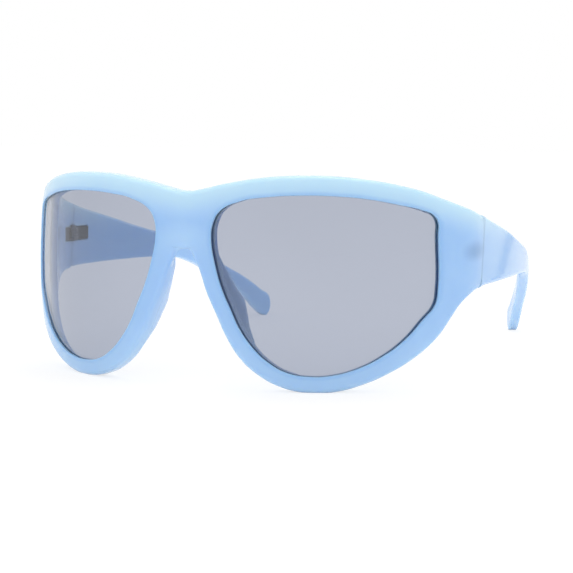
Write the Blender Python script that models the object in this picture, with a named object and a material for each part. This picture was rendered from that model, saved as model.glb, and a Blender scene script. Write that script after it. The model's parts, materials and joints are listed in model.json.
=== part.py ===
"""Wraparound sunglasses with folding temples, modelled piece by piece in metres with +Z up.

The front, the lenses, the nose pads and the temples are drawn flat and then bent round one
plan curve: across the bridge, round the face and back along the side of the head. On the flat
drawing X is the distance along that curve from the middle of the bridge, Y is the depth inwards
from the outer face and Z is the height above the table. The sunglasses stand open on the table
on the bottoms of their rims and the tips of their temples.
"""
import math

import bmesh
import bpy
from mathutils import Matrix, Vector

# The plan curve
BRIDGE_STRAIGHT = 0.018
WRAP_RADIUS = 0.0683
CORNER_LEAD = 0.0033
CORNER_RADIUS = 0.026
TEMPLE_LENGTH = 0.1135
TEMPLE_BEND_START = 0.0565
VERTICAL_RADIUS = 0.25
END_SPLAY = math.radians(2)
TEMPLE_FRONT_TURN = math.radians(11)
TEMPLE_REAR_TURN = math.radians(19)

# The front
FRONT_THICKNESS = 0.0051
FRONT_EDGE_ROUND = 0.0009
RIM_WIDTH = 0.005
END_LENGTH = 0.0216
ARCH_FLARE = 0.0027
SEAM_HEIGHT = 0.0201
FLOOR_FLAT = 0.0002

# The lenses
LENS_SPACING = 0.017
LENS_WIDTH = 0.0645
LENS_HEIGHT = 0.0484
LENS_THICKNESS = 0.002
LENS_SETBACK = 0.0012
LENS_LAP = 0.0009
LENS_CLEARANCE = 0.00025

# The nose pads
PAD_DEPTH = 0.0083
PAD_BOND_GAP = 0.0002
PAD_WIDTH_SHARE = 0.84
PAD_FLARE_SHARE = 0.2

# The temples
TEMPLE_EDGE_ROUND = 0.001
TEMPLE_TIP_THICKNESS = 0.0032
SEAM_GAP = 0.0003

# The hinges
HINGE_HEIGHT = 0.004
HINGE_INSET = 0.0003
KNUCKLE_RADIUS = 0.0014
KNUCKLE_GAP = 0.00014
LEAF_THICKNESS = 0.0012
FRONT_LEAF_LENGTH = 0.0027
TEMPLE_LEAF_LENGTH = 0.0075
ANCHOR_LENGTH = 0.0014
ANCHOR_DEPTH = 0.002
ANCHOR_HEIGHT = 0.0026
ANCHOR_PLACE_SHARE = 0.7
SCREW_RADIUS = 0.0006
SCREW_RUNNING_FIT = 0.00008
SCREW_HEAD_RADIUS = 0.001
SCREW_HEAD_HEIGHT = 0.0005
SCREW_SLOT_WIDTH = 0.0003
SCREW_SLOT_DEPTH = 0.00025
HINGE_CLEARANCE = 0.0003

# Drawing
BEND_STEP = 0.0045
HEIGHT_STEP = 0.0125
CUT_OVERRUN = 0.004
WELD = 0.00001
OUTLINE_STEPS = 3
EDGE_STEPS = 1
ROUND_SIDES = 24
KNUCKLES = 5
FLAT_ANGLE = math.radians(0.1)
SMOOTH_ANGLE = math.radians(35)

# Each row is one point of the lens outline, as shares of its width and height from the nose
# side and the bottom, with the rim's breadth there as a share of RIM_WIDTH.
LENS_SHARES = (
    (0.000, 0.745, 1.00),
    (0.005, 0.835, 1.00),
    (0.035, 0.905, 1.00),
    (0.130, 0.965, 1.09),
    (0.250, 0.990, 1.05),
    (0.385, 1.000, 1.04),
    (0.530, 0.997, 1.04),
    (0.675, 0.980, 1.03),
    (0.815, 0.947, 1.05),
    (0.925, 0.915, 1.03),
    (0.980, 0.885, 1.00),
    (1.000, 0.845, 1.00),
    (0.998, 0.775, 1.00),
    (0.997, 0.470, 1.00),
    (0.985, 0.390, 1.00),
    (0.923, 0.303, 1.50),
    (0.840, 0.195, 1.28),
    (0.745, 0.110, 1.10),
    (0.640, 0.045, 0.99),
    (0.530, 0.007, 0.96),
    (0.430, 0.000, 0.94),
    (0.335, 0.020, 0.91),
    (0.250, 0.080, 0.97),
    (0.185, 0.160, 1.03),
    (0.130, 0.260, 0.98),
    (0.090, 0.370, 0.98),
    (0.050, 0.485, 1.01),
    (0.020, 0.610, 1.07),
)
LENS_MIDDLE_SHARE = 0.472
RIM_BOTTOM_SHARE = 0.94
TOP_RIM_FIRST, TOP_RIM_LAST = 3, 9
LOWER_RIM_FIRST, LOWER_RIM_LAST = 15, 27
PAD_ROWS = (22, 23, 24, 25, 26, 27, 0)

# Shares of the lens width and height for the brow over the bridge and the arch under it
BROW_SHARES = ((None, 1.014), (-0.047, 1.031), (0.010, 1.049))
ARCH_SHARES = ((-0.070, 0.607), (-0.087, 0.653), (-0.105, 0.685), (None, 0.692))
ARCH_FLARE_LOW_SHARE = 0.56
ARCH_REACH_SHARE = 0.8

# Shares of the end length and the seam height, from the lens edge and the seam's lower corner
SEAM_BOTTOM_SHARE = 0.455
END_TOP_SHARES = ((0.10, 1.265), (0.335, 1.190), (0.575, 1.120), (1.00, 1.000))
END_BOTTOM_SHARES = ((1.00, 0.000), (0.66, -0.060), (0.375, -0.210), (0.26, -0.335))
SEAM_SLOPE_SHARE = 0.25
SEAM_SLANT_SHARE = 0.115

# Shares of the temple length, and of the height of the seam's upper and lower corner
TEMPLE_TOP_SHARES = (
    (0.000, 1.000),
    (0.065, 0.960),
    (0.155, 0.912),
    (0.245, 0.863),
    (0.330, 0.812),
    (0.415, 0.765),
    (0.500, 0.720),
    (0.575, 0.667),
    (0.650, 0.592),
    (0.730, 0.500),
    (0.815, 0.403),
    (0.885, 0.320),
    (0.955, 0.212),
    (0.992, 0.145),
)
TEMPLE_BOTTOM_SHARES = (
    (0.978, 0.000),
    (0.966, 0.005),
    (0.950, 0.045),
    (0.922, 0.145),
    (0.895, 0.257),
    (0.868, 0.350),
    (0.793, 0.536),
    (0.715, 0.711),
    (0.635, 0.855),
    (0.557, 0.936),
    (0.440, 0.974),
    (0.308, 0.992),
    (0.106, 1.004),
    (0.000, 1.000),
)

# The pad covers a share of its rows and is deepest at its crest; powers shape its climb, its
# fall, its ends and its ridge
PAD_START_SHARE = 0.08
PAD_STOP_SHARE = 0.95
PAD_CREST_SHARE = 0.54
PAD_FALL_POWER = 0.9
PAD_CLIMB_POWER = 1.3
PAD_END_POWER = 4
PAD_RIDGE_POWER = 0.45
WEB_SHARE = 0.75

# Heights and places that follow from the sizes
LENS_BOTTOM = RIM_WIDTH * RIM_BOTTOM_SHARE - FLOOR_FLAT
LENS_MIDDLE = LENS_BOTTOM + LENS_HEIGHT * LENS_MIDDLE_SHARE
LENS_EDGE = LENS_SPACING / 2 + LENS_WIDTH
SEAM = LENS_EDGE + END_LENGTH
SEAM_BOTTOM = LENS_BOTTOM + LENS_HEIGHT * SEAM_BOTTOM_SHARE
SEAM_TOP = SEAM_BOTTOM + SEAM_HEIGHT
WRAP_TURN = (LENS_EDGE + CORNER_LEAD - BRIDGE_STRAIGHT / 2) / WRAP_RADIUS
CORNER_TURN = math.pi / 2 - END_SPLAY - WRAP_TURN
HINGE_MIDDLE = (SEAM_BOTTOM + SEAM_TOP) / 2 + FRONT_EDGE_ROUND / 2

# Each stretch of the plan curve is a length and the angle that it turns
PLAN = (
    (BRIDGE_STRAIGHT / 2, 0.0),
    (WRAP_RADIUS * WRAP_TURN, WRAP_TURN),
    (CORNER_RADIUS * CORNER_TURN, CORNER_TURN),
    (END_LENGTH - CORNER_LEAD - CORNER_RADIUS * CORNER_TURN, 0.0),
    (TEMPLE_BEND_START, TEMPLE_FRONT_TURN),
    (TEMPLE_LENGTH - TEMPLE_BEND_START, TEMPLE_REAR_TURN),
)

FRONT_COLOUR = (0.36, 0.57, 0.90, 1.0)
LENS_COLOUR = (0.42, 0.44, 0.48, 1.0)
STEEL_COLOUR = (0.42, 0.42, 0.44, 1.0)


def clear_scene():
    """Remove every object of the scene that the script starts in."""
    for item in list(bpy.data.objects):
        bpy.data.objects.remove(item, do_unlink=True)


def new_collection(name):
    """Make a collection under the scene's own."""
    collection = bpy.data.collections.new(name)
    bpy.context.scene.collection.children.link(collection)
    return collection


def plan_point(along):
    """Find a place of the plan curve: its X, its Y and the angle that the curve has there."""
    x, y, angle, rest = 0.0, 0.0, 0.0, along
    for number, (length, turn) in enumerate(PLAN):
        last = number == len(PLAN) - 1
        step = rest if last else min(rest, length)
        swing = turn * step / length
        chord = step if swing == 0 else 2 * math.sin(swing / 2) * step / swing
        x += chord * math.cos(angle + swing / 2)
        y += chord * math.sin(angle + swing / 2)
        angle += swing
        rest -= step
        if rest <= 0:
            break
    return x, y, angle


def bow(along, height):
    """How far the face lies inwards because the front also bows from top to bottom."""
    start = LENS_EDGE + CORNER_LEAD
    share = min(max((along - start) / (SEAM - start), 0), 1)
    fade = 1 - share * share * (3 - 2 * share)
    return fade * (height - LENS_MIDDLE) ** 2 / (2 * VERTICAL_RADIUS)


def bent(point):
    """Move a point of the flat drawing to its place round the plan curve."""
    along, depth, height = point
    side = -1 if along < 0 else 1
    x, y, angle = plan_point(abs(along))
    inwards = depth + bow(abs(along), height)
    return Vector((side * (x - math.sin(angle) * inwards), y + math.cos(angle) * inwards, height))


def temple_taper(along):
    """Share of the front's thickness that the temple has at a place along it."""
    share = min(max((along - SEAM) / TEMPLE_LENGTH, 0), 1)
    return 1 + share * (TEMPLE_TIP_THICKNESS / FRONT_THICKNESS - 1)


def lens_place(width_share, height_share):
    """Turn shares of the lens into a place on the flat drawing."""
    return LENS_SPACING / 2 + LENS_WIDTH * width_share, LENS_BOTTOM + LENS_HEIGHT * height_share


def lens_outline(grow=0.0, rim_share=0.0):
    """List the lens outline, moved outwards by a length and by a share of the rim's breadth."""
    places = [Vector(lens_place(a, b)) for a, b, _ in LENS_SHARES]
    outline = []
    for number, place in enumerate(places):
        along = places[(number + 1) % len(places)] - places[number - 1]
        outwards = Vector((-along.y, along.x)).normalized()
        offset = grow + rim_share * RIM_WIDTH * LENS_SHARES[number][2]
        outline.append(place + outwards * offset)
    return outline


def end_place(length_share, height_share):
    """Turn shares of the end piece into a place on the flat drawing."""
    return LENS_EDGE + END_LENGTH * length_share, SEAM_BOTTOM + SEAM_HEIGHT * height_share


def middle_or_lens(width_share, height_share):
    """Place a point of the bridge; a missing width share is the middle plane."""
    along, height = lens_place(width_share or 0.0, height_share)
    return (0.0, height) if width_share is None else (along, height)


def front_outline():
    """List the front's outline with the numbers of its sharp corners, both halves."""
    rim = lens_outline(rim_share=1.0)
    half = [middle_or_lens(*share) for share in BROW_SHARES]
    half += [tuple(p) for p in rim[TOP_RIM_FIRST:TOP_RIM_LAST + 1]]
    half += [end_place(*share) for share in END_TOP_SHARES]
    drop = SEAM_SLOPE_SHARE * CUT_OVERRUN
    corner = len(half)
    half += [(SEAM + CUT_OVERRUN, SEAM_TOP - drop), (SEAM + CUT_OVERRUN, SEAM_BOTTOM + drop)]
    half += [end_place(*share) for share in END_BOTTOM_SHARES]
    half += [tuple(p) for p in rim[LOWER_RIM_FIRST:LOWER_RIM_LAST + 1]]
    half += [middle_or_lens(*share) for share in ARCH_SHARES]
    mirror = [(-a, b) for a, b in reversed(half[1:-1])]
    sharp = {corner, corner + 1}
    total = len(half) + len(mirror)
    sharp |= {total - number for number in sharp}
    return half + mirror, sharp


def temple_outline():
    """List the temple's outline with the numbers of its sharp corners."""
    drop = SEAM_SLOPE_SHARE * CUT_OVERRUN
    start = SEAM - CUT_OVERRUN
    points = [(start, SEAM_BOTTOM - drop / 2), (start, SEAM_TOP + drop)]
    points += [(SEAM + TEMPLE_LENGTH * a, SEAM_TOP * b) for a, b in TEMPLE_TOP_SHARES]
    points += [(SEAM + TEMPLE_LENGTH * a, SEAM_BOTTOM * b - FLOOR_FLAT * (1 - b))
               for a, b in TEMPLE_BOTTOM_SHARES]
    return points, {0, 1}


def plate(name, outline, sharp, thickness, edge_round, depth):
    """Draw a flat plate from a smooth outline, as a mesh of the flat drawing."""
    curve = bpy.data.curves.new(name, "CURVE")
    curve.dimensions = "2D"
    curve.fill_mode = "BOTH"
    curve.extrude = thickness / 2 - edge_round
    curve.bevel_depth = edge_round
    curve.bevel_resolution = EDGE_STEPS
    curve.offset = -edge_round
    spline = curve.splines.new("BEZIER")
    spline.bezier_points.add(len(outline) - 1)
    for number, (point, place) in enumerate(zip(spline.bezier_points, outline)):
        point.co = (place[0], place[1], 0)
        kind = "VECTOR" if number in sharp else "AUTO"
        point.handle_left_type = kind
        point.handle_right_type = kind
    spline.use_cyclic_u = True
    spline.resolution_u = OUTLINE_STEPS
    holder = bpy.data.objects.new(name, curve)
    bpy.context.scene.collection.objects.link(holder)
    bpy.context.view_layer.update()
    graph = bpy.context.evaluated_depsgraph_get()
    mesh = bpy.data.meshes.new_from_object(holder.evaluated_get(graph))
    bpy.data.objects.remove(holder)
    shape = bmesh.new()
    shape.from_mesh(mesh)
    bmesh.ops.remove_doubles(shape, verts=shape.verts, dist=WELD)
    upright = Matrix.Rotation(math.pi / 2, 3, "X")
    bmesh.ops.rotate(shape, verts=shape.verts, cent=Vector(), matrix=upright)
    bmesh.ops.translate(shape, verts=shape.verts, vec=Vector((0, depth + thickness / 2, 0)))
    bmesh.ops.dissolve_limit(shape, angle_limit=FLAT_ANGLE, verts=shape.verts, edges=shape.edges)
    bmesh.ops.recalc_face_normals(shape, faces=shape.faces)
    shape.to_mesh(mesh)
    shape.free()
    return mesh


def everything(shape):
    """List all vertices, edges and faces of a mesh being edited."""
    return shape.verts[:] + shape.edges[:] + shape.faces[:]


def cut(shape, place, across, clear=False):
    """Cut every face along a plane, and clear what lies beyond it if asked to."""
    bmesh.ops.bisect_plane(shape, geom=everything(shape), dist=WELD / 2, plane_co=place,
                           plane_no=across, clear_outer=clear)


def trim(shape, place, outwards):
    """Cut off what lies beyond a plane and close the cut."""
    cut(shape, place, outwards.normalized(), clear=True)
    open_edges = [edge for edge in shape.edges if edge.is_boundary]
    bmesh.ops.holes_fill(shape, edges=open_edges)


def slice_and_bend(shape, taper=None):
    """Slice a flat piece along its length and height, then bend it round the plan curve."""
    longest = max(abs(v.co.x) for v in shape.verts)
    reach = math.ceil(longest / BEND_STEP)
    for number in range(-reach, reach + 1):
        cut(shape, Vector((number * BEND_STEP, 0, 0)), Vector((1, 0, 0)))
    for number in range(1, math.ceil(max(v.co.z for v in shape.verts) / HEIGHT_STEP)):
        cut(shape, Vector((0, 0, number * HEIGHT_STEP)), Vector((0, 0, 1)))
    bmesh.ops.triangulate(shape, faces=shape.faces)
    for vertex in shape.verts:
        if taper:
            vertex.co.y *= taper(vertex.co.x)
        vertex.co = bent(vertex.co)


def place_mesh(name, mesh, material, collection, origin=None):
    """Put a mesh in the scene as one named piece, with its origin on a chosen point."""
    if origin:
        mesh.transform(Matrix.Translation(-origin))
    mesh.name = name
    mesh.materials.clear()
    mesh.materials.append(material)
    piece = bpy.data.objects.new(name, mesh)
    piece.location = origin or Vector()
    collection.objects.link(piece)
    mesh.shade_smooth()
    mesh.set_sharp_from_angle(angle=SMOOTH_ANGLE)
    return piece


def evaluated_mesh(piece):
    """Read a piece as its modifiers leave it, in world places."""
    bpy.context.view_layer.update()
    graph = bpy.context.evaluated_depsgraph_get()
    mesh = bpy.data.meshes.new_from_object(piece.evaluated_get(graph))
    mesh.transform(piece.matrix_world)
    return mesh


def mirrored(mesh):
    """Copy a mesh to the other side of the middle plane."""
    copy = mesh.copy()
    copy.transform(Matrix.Scale(-1, 4, Vector((1, 0, 0))))
    copy.flip_normals()
    return copy


def for_side(mesh, side):
    """Copy a left mesh for the side that it is wanted on."""
    return mesh.copy() if side == "left" else mirrored(mesh)


def tool(name, mesh, collection):
    """Put a helper shape in the collection of cutters."""
    piece = bpy.data.objects.new(name, mesh)
    piece.hide_render = True
    piece.display_type = "WIRE"
    collection.objects.link(piece)
    return piece


def block(low, high):
    """Make a box between two corners."""
    shape = bmesh.new()
    bmesh.ops.create_cube(shape, size=1)
    low, high = Vector(low), Vector(high)
    for vertex in shape.verts:
        share = vertex.co + Vector((0.5, 0.5, 0.5))
        vertex.co = [a + (b - a) * c for a, b, c in zip(low, high, share)]
    return as_mesh(shape)


def upright_cylinder(centre, radius, low, high):
    """Make a round bar that stands between two heights."""
    shape = bmesh.new()
    bmesh.ops.create_cone(shape, cap_ends=True, segments=ROUND_SIDES, radius1=radius,
                          radius2=radius, depth=high - low)
    middle = Vector((centre.x, centre.y, (low + high) / 2))
    bmesh.ops.translate(shape, verts=shape.verts, vec=middle)
    return as_mesh(shape)


def as_mesh(shape):
    """Turn a mesh being edited into a mesh of its own."""
    mesh = bpy.data.meshes.new("shape")
    shape.to_mesh(mesh)
    shape.free()
    return mesh


def add_boolean(piece, other, operation):
    """Join or cut a piece with another shape."""
    step = piece.modifiers.new(other.name, "BOOLEAN")
    step.operation = operation
    step.object = other
    step.solver = "EXACT"


def make_material(name, colour, roughness, metallic=0.0, transmission=0.0):
    """Make a plain finish."""
    material = bpy.data.materials.new(name)
    material.use_nodes = True
    shader = material.node_tree.nodes["Principled BSDF"]
    shader.inputs["Base Color"].default_value = colour
    shader.inputs["Roughness"].default_value = roughness
    shader.inputs["Metallic"].default_value = metallic
    shader.inputs["Transmission Weight"].default_value = transmission
    material.diffuse_color = colour
    return material


def trim_seam(shape, side, facing, gap):
    """Cut a flat piece off along the seam, which leans forwards towards its lower corner."""
    place = Vector((side * (SEAM + facing * gap), 0, SEAM_TOP))
    trim(shape, place, Vector((-facing * side, 0, facing * SEAM_SLANT_SHARE)))


def flare_arch(shape):
    """Widen the nose arch towards its back, most at its top."""
    low = lens_place(0, ARCH_FLARE_LOW_SHARE)[1]
    top = lens_place(0, ARCH_SHARES[-1][1])[1]
    for vertex in shape.verts:
        along, depth, height = vertex.co
        in_arch = abs(along) < ARCH_REACH_SHARE * LENS_SPACING / 2 and low < height < top + WELD
        if in_arch and depth > FRONT_EDGE_ROUND:
            behind = (depth - FRONT_EDGE_ROUND) / (FRONT_THICKNESS - FRONT_EDGE_ROUND)
            reach = ARCH_FLARE * behind * min((height - low) / (top - low), 1)
            away = Vector((along, 0, height - low)).normalized()
            vertex.co += away * reach


def hinge_axis():
    """Place the left hinge's axis: on the seam, a little inside the inner face."""
    x, y, angle = plan_point(SEAM - SEAM_SLANT_SHARE * (SEAM_TOP - HINGE_MIDDLE))
    inwards = FRONT_THICKNESS + HINGE_INSET
    return Vector((x - math.sin(angle) * inwards, y + math.cos(angle) * inwards, HINGE_MIDDLE))


def make_front(material, parts, cutters):
    """Make the front: rims, bridge and wrapped end pieces in one, grooved for the lenses."""
    outline, sharp = front_outline()
    mesh = plate("front_plate", outline, sharp, FRONT_THICKNESS, FRONT_EDGE_ROUND, 0)
    flat = bpy.data.objects.new("front_flat", mesh)
    bpy.context.scene.collection.objects.link(flat)
    through = FRONT_THICKNESS + 2 * CUT_OVERRUN
    opening = plate("opening", lens_outline(), set(), through, 0, -CUT_OVERRUN)
    groove = plate("groove", lens_outline(grow=LENS_LAP + LENS_CLEARANCE), set(),
                   LENS_THICKNESS + 2 * LENS_CLEARANCE, 0, LENS_SETBACK - LENS_CLEARANCE)
    used = []
    for label, left in (("opening", opening), ("groove", groove)):
        for side, shape in (("left", left), ("right", mirrored(left))):
            cutter = tool("flat_" + side + "_" + label, shape, cutters)
            add_boolean(flat, cutter, "DIFFERENCE")
            used.append(cutter)
    shape = bmesh.new()
    shape.from_mesh(evaluated_mesh(flat))
    for item in used + [flat]:
        bpy.data.objects.remove(item)
    for side in (1, -1):
        trim_seam(shape, side, -1, SEAM_GAP / 2)
    trim(shape, Vector(), Vector((0, 0, -1)))
    flare_arch(shape)
    slice_and_bend(shape)
    return place_mesh("front", as_mesh(shape), material, parts)


def lens_mesh():
    """Make the left lens, which follows the front's curve inside its groove."""
    outline = lens_outline(grow=LENS_LAP)
    mesh = plate("lens_plate", outline, set(), LENS_THICKNESS, 0, LENS_SETBACK)
    shape = bmesh.new()
    shape.from_mesh(mesh)
    slice_and_bend(shape)
    return as_mesh(shape)


def temple_mesh():
    """Make the left temple's plastic arm, thinner towards its tip."""
    outline, sharp = temple_outline()
    mesh = plate("temple_plate", outline, sharp, FRONT_THICKNESS, TEMPLE_EDGE_ROUND, 0)
    shape = bmesh.new()
    shape.from_mesh(mesh)
    trim_seam(shape, 1, 1, SEAM_GAP / 2)
    trim(shape, Vector(), Vector((0, 0, -1)))
    slice_and_bend(shape, taper=temple_taper)
    return as_mesh(shape)


def pad_line(share):
    """Find the middle of the rim beside the nose, and the direction away from the lens."""
    middles, outers = lens_outline(rim_share=0.5), lens_outline(rim_share=1.0)
    middle, outer = [middles[row] for row in PAD_ROWS], [outers[row] for row in PAD_ROWS]
    reach = PAD_START_SHARE + (PAD_STOP_SHARE - PAD_START_SHARE) * min(max(share, 0), 1)
    place = reach * (len(PAD_ROWS) - 1)
    number = min(int(place), len(middle) - 2)
    part = place - number
    centre = middle[number].lerp(middle[number + 1], part)
    edge = outer[number].lerp(outer[number + 1], part)
    return centre, edge - centre


def pad_depth(share):
    """Give the pad's depth at a share of its length: it climbs to its crest, then falls."""
    climb = 1 - (1 - min(share / PAD_CREST_SHARE, 1)) ** PAD_CLIMB_POWER
    fall = min((1 - share) / (1 - PAD_CREST_SHARE), 1) ** PAD_FALL_POWER
    return PAD_DEPTH * climb * fall


def pad_mesh():
    """Make the left nose pad: a long fin bonded to the rim, deepest near its upper end."""
    shape = bmesh.new()
    bmesh.ops.create_uvsphere(shape, u_segments=ROUND_SIDES, v_segments=ROUND_SIDES // 2,
                              radius=1)
    lying = Matrix.Rotation(math.pi / 2, 3, "Y")
    bmesh.ops.rotate(shape, verts=shape.verts, cent=Vector(), matrix=lying)
    trim(shape, Vector(), Vector((0, 0, -1)))
    bmesh.ops.triangulate(shape, faces=shape.faces)
    for vertex in shape.verts:
        along = min(max(vertex.co.x, -1), 1)
        ring = max(math.hypot(vertex.co.y, vertex.co.z), WELD)
        across, rise = vertex.co.y / ring, max(vertex.co.z / ring, 0)
        share = (along + 1) / 2
        centre, half = pad_line(share)
        breadth = PAD_WIDTH_SHARE * (1 - abs(along) ** PAD_END_POWER) ** (1 / PAD_END_POWER)
        depth = pad_depth(share) * rise ** PAD_RIDGE_POWER
        place = centre + half * across * breadth
        behind = FRONT_THICKNESS + PAD_BOND_GAP + depth
        vertex.co = bent((place.x + PAD_FLARE_SHARE * depth, behind, place.y))
    if shape.calc_volume(signed=True) < 0:
        bmesh.ops.reverse_faces(shape, faces=shape.faces)
    return as_mesh(shape)


def knuckle_span(number):
    """Give the lower and upper height of one knuckle of the hinge."""
    pitch = (HINGE_HEIGHT + KNUCKLE_GAP) / KNUCKLES
    low = HINGE_MIDDLE - HINGE_HEIGHT / 2 + number * pitch
    return low, low + pitch - KNUCKLE_GAP


def leaf_mesh(name, axis, direction, length, numbers, cutters):
    """Make a hinge leaf: plate, anchor set in the plastic, and its knuckles with their bore."""
    inner = axis.x + HINGE_INSET
    near = KNUCKLE_RADIUS + HINGE_CLEARANCE
    low, high = HINGE_MIDDLE - HINGE_HEIGHT / 2, HINGE_MIDDLE + HINGE_HEIGHT / 2
    ends = sorted((axis.y + direction * near, axis.y + direction * (near + length)))
    leaf_plate = block((inner, ends[0], low), (inner + LEAF_THICKNESS, ends[1], high))
    piece = bpy.data.objects.new(name, leaf_plate)
    bpy.context.scene.collection.objects.link(piece)
    middle = axis.y + direction * (near + length * ANCHOR_PLACE_SHARE)
    helpers = [tool(name + "_anchor", block(
        (inner + LEAF_THICKNESS / 2, middle - ANCHOR_LENGTH / 2, HINGE_MIDDLE - ANCHOR_HEIGHT / 2),
        (inner + LEAF_THICKNESS + ANCHOR_DEPTH, middle + ANCHOR_LENGTH / 2,
         HINGE_MIDDLE + ANCHOR_HEIGHT / 2)), cutters)]
    for number in numbers:
        bottom, top = knuckle_span(number)
        web_ends = sorted((axis.y, axis.y + direction * (near + length / 2)))
        web_depth = inner + LEAF_THICKNESS * WEB_SHARE
        web = block((inner, web_ends[0], bottom), (web_depth, web_ends[1], top))
        helpers.append(tool(name + "_web_" + str(number), web, cutters))
        knuckle = upright_cylinder(axis, KNUCKLE_RADIUS, bottom, top)
        helpers.append(tool(name + "_knuckle_" + str(number), knuckle, cutters))
    for helper in helpers:
        add_boolean(piece, helper, "UNION")
    bore = tool(name + "_bore", upright_cylinder(
        axis, SCREW_RADIUS + SCREW_RUNNING_FIT, low - CUT_OVERRUN, high + CUT_OVERRUN), cutters)
    add_boolean(piece, bore, "DIFFERENCE")
    mesh = evaluated_mesh(piece)
    for item in helpers + [bore, piece]:
        bpy.data.objects.remove(item)
    return mesh


def screw_mesh(axis, cutters):
    """Make the hinge screw with its slotted head on the top knuckle."""
    low, high = HINGE_MIDDLE - HINGE_HEIGHT / 2, HINGE_MIDDLE + HINGE_HEIGHT / 2
    seat = high + KNUCKLE_GAP
    top = seat + SCREW_HEAD_HEIGHT
    shank = upright_cylinder(axis, SCREW_RADIUS, low, seat + SCREW_HEAD_HEIGHT / 2)
    piece = bpy.data.objects.new("screw", shank)
    bpy.context.scene.collection.objects.link(piece)
    head = tool("screw_head", upright_cylinder(axis, SCREW_HEAD_RADIUS, seat, top), cutters)
    add_boolean(piece, head, "UNION")
    reach = Vector((SCREW_HEAD_RADIUS + SCREW_SLOT_DEPTH, SCREW_SLOT_WIDTH / 2, SCREW_SLOT_DEPTH))
    middle = Vector((axis.x, axis.y, top))
    slot = tool("screw_slot", block(middle - reach, middle + reach), cutters)
    add_boolean(piece, slot, "DIFFERENCE")
    mesh = evaluated_mesh(piece)
    for item in (head, slot, piece):
        bpy.data.objects.remove(item)
    return mesh


def hinge_pocket_meshes(axis, direction, length):
    """Make the shapes cut out of the plastic for the knuckles, one leaf and its anchor."""
    gap = HINGE_CLEARANCE
    inner = axis.x + HINGE_INSET
    low = HINGE_MIDDLE - HINGE_HEIGHT / 2 - gap
    high = HINGE_MIDDLE + HINGE_HEIGHT / 2 + SCREW_HEAD_HEIGHT + KNUCKLE_GAP + gap
    near = KNUCKLE_RADIUS + gap
    ends = sorted((axis.y, axis.y + direction * (near + length + gap)))
    middle = axis.y + direction * (near + length * ANCHOR_PLACE_SHARE)
    return (
        upright_cylinder(axis, near, low, high),
        block((inner - CUT_OVERRUN, ends[0], low),
              (inner + LEAF_THICKNESS + gap, ends[1], HINGE_MIDDLE + HINGE_HEIGHT / 2 + gap)),
        block((inner, middle - ANCHOR_LENGTH / 2 - gap, HINGE_MIDDLE - ANCHOR_HEIGHT / 2 - gap),
              (inner + LEAF_THICKNESS + ANCHOR_DEPTH + gap, middle + ANCHOR_LENGTH / 2 + gap,
               HINGE_MIDDLE + ANCHOR_HEIGHT / 2 + gap)),
    )


def main():
    """Build the sunglasses."""
    clear_scene()
    parts = new_collection("wraparound_sunglasses")
    cutters = new_collection("cutters")
    plastic = make_material("milky_blue_plastic", FRONT_COLOUR, 0.25)
    tint = make_material("grey_lens", LENS_COLOUR, 0.05, transmission=0.6)
    steel = make_material("hinge_steel", STEEL_COLOUR, 0.35, metallic=1.0)

    axis = hinge_axis()
    front = make_front(plastic, parts, cutters)
    lens, pad, temple = lens_mesh(), pad_mesh(), temple_mesh()
    front_leaf = leaf_mesh("front_leaf", axis, -1, FRONT_LEAF_LENGTH, range(1, KNUCKLES, 2),
                           cutters)
    temple_leaf = leaf_mesh("temple_leaf", axis, 1, TEMPLE_LEAF_LENGTH, range(0, KNUCKLES, 2),
                            cutters)
    screw = screw_mesh(axis, cutters)

    pieces = [front]
    for side in ("left", "right"):
        joint = Vector((axis.x if side == "left" else -axis.x, axis.y, axis.z))
        for label, mesh, material, origin in (
                ("_lens", lens, tint, None),
                ("_nose_pad", pad, plastic, None),
                ("_hinge_front_leaf", front_leaf, steel, None),
                ("_hinge_screw", screw, steel, joint),
                ("_hinge_temple_leaf", temple_leaf, steel, joint),
                ("_temple", temple, plastic, joint)):
            own = for_side(mesh, side)
            pieces.append(place_mesh(side + label, own, material, parts, origin))
        for carrier, direction, length in ((front, -1, FRONT_LEAF_LENGTH),
                                           (pieces[-1], 1, TEMPLE_LEAF_LENGTH)):
            for number, shape in enumerate(hinge_pocket_meshes(axis, direction, length)):
                label = "_".join((side, carrier.name, "pocket", str(number)))
                pocket = tool(label, for_side(shape, side), cutters)
                add_boolean(carrier, pocket, "DIFFERENCE")
    stand_on_origin(pieces, list(cutters.objects))


def stand_on_origin(pieces, helpers):
    """Carry everything on one empty, so that the middle of the footprint is the origin."""
    bpy.context.view_layer.update()
    corners = [piece.matrix_world @ v.co for piece in pieces for v in piece.data.vertices]
    middle = (min(c.y for c in corners) + max(c.y for c in corners)) / 2
    carrier = bpy.data.objects.new("footprint_centre", None)
    bpy.context.scene.collection.objects.link(carrier)
    for item in pieces + helpers:
        item.parent = carrier
    carrier.location.y = -middle


main()
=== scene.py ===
"""Wraparound sunglasses in milky blue plastic, dressed for a studio picture.

Lengths are in metres. The plastic, the lenses and the pads are drawn flat and then wrapped
round one plan line: across the bridge, round the face and back along the side of the head.
On the flat drawing X is the distance along that line from the middle of the bridge, Y is the
depth inwards from the outer face and Z is the height above the table.
"""

import json
import logging
import math
from dataclasses import dataclass
from enum import Enum

import bmesh
import bpy
import numpy as np
from bpy.types import ID, Material, Mesh, Node, NodeOutputs, NodeSocket, NodeTree, Object
from mathutils import Matrix, Vector

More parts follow.
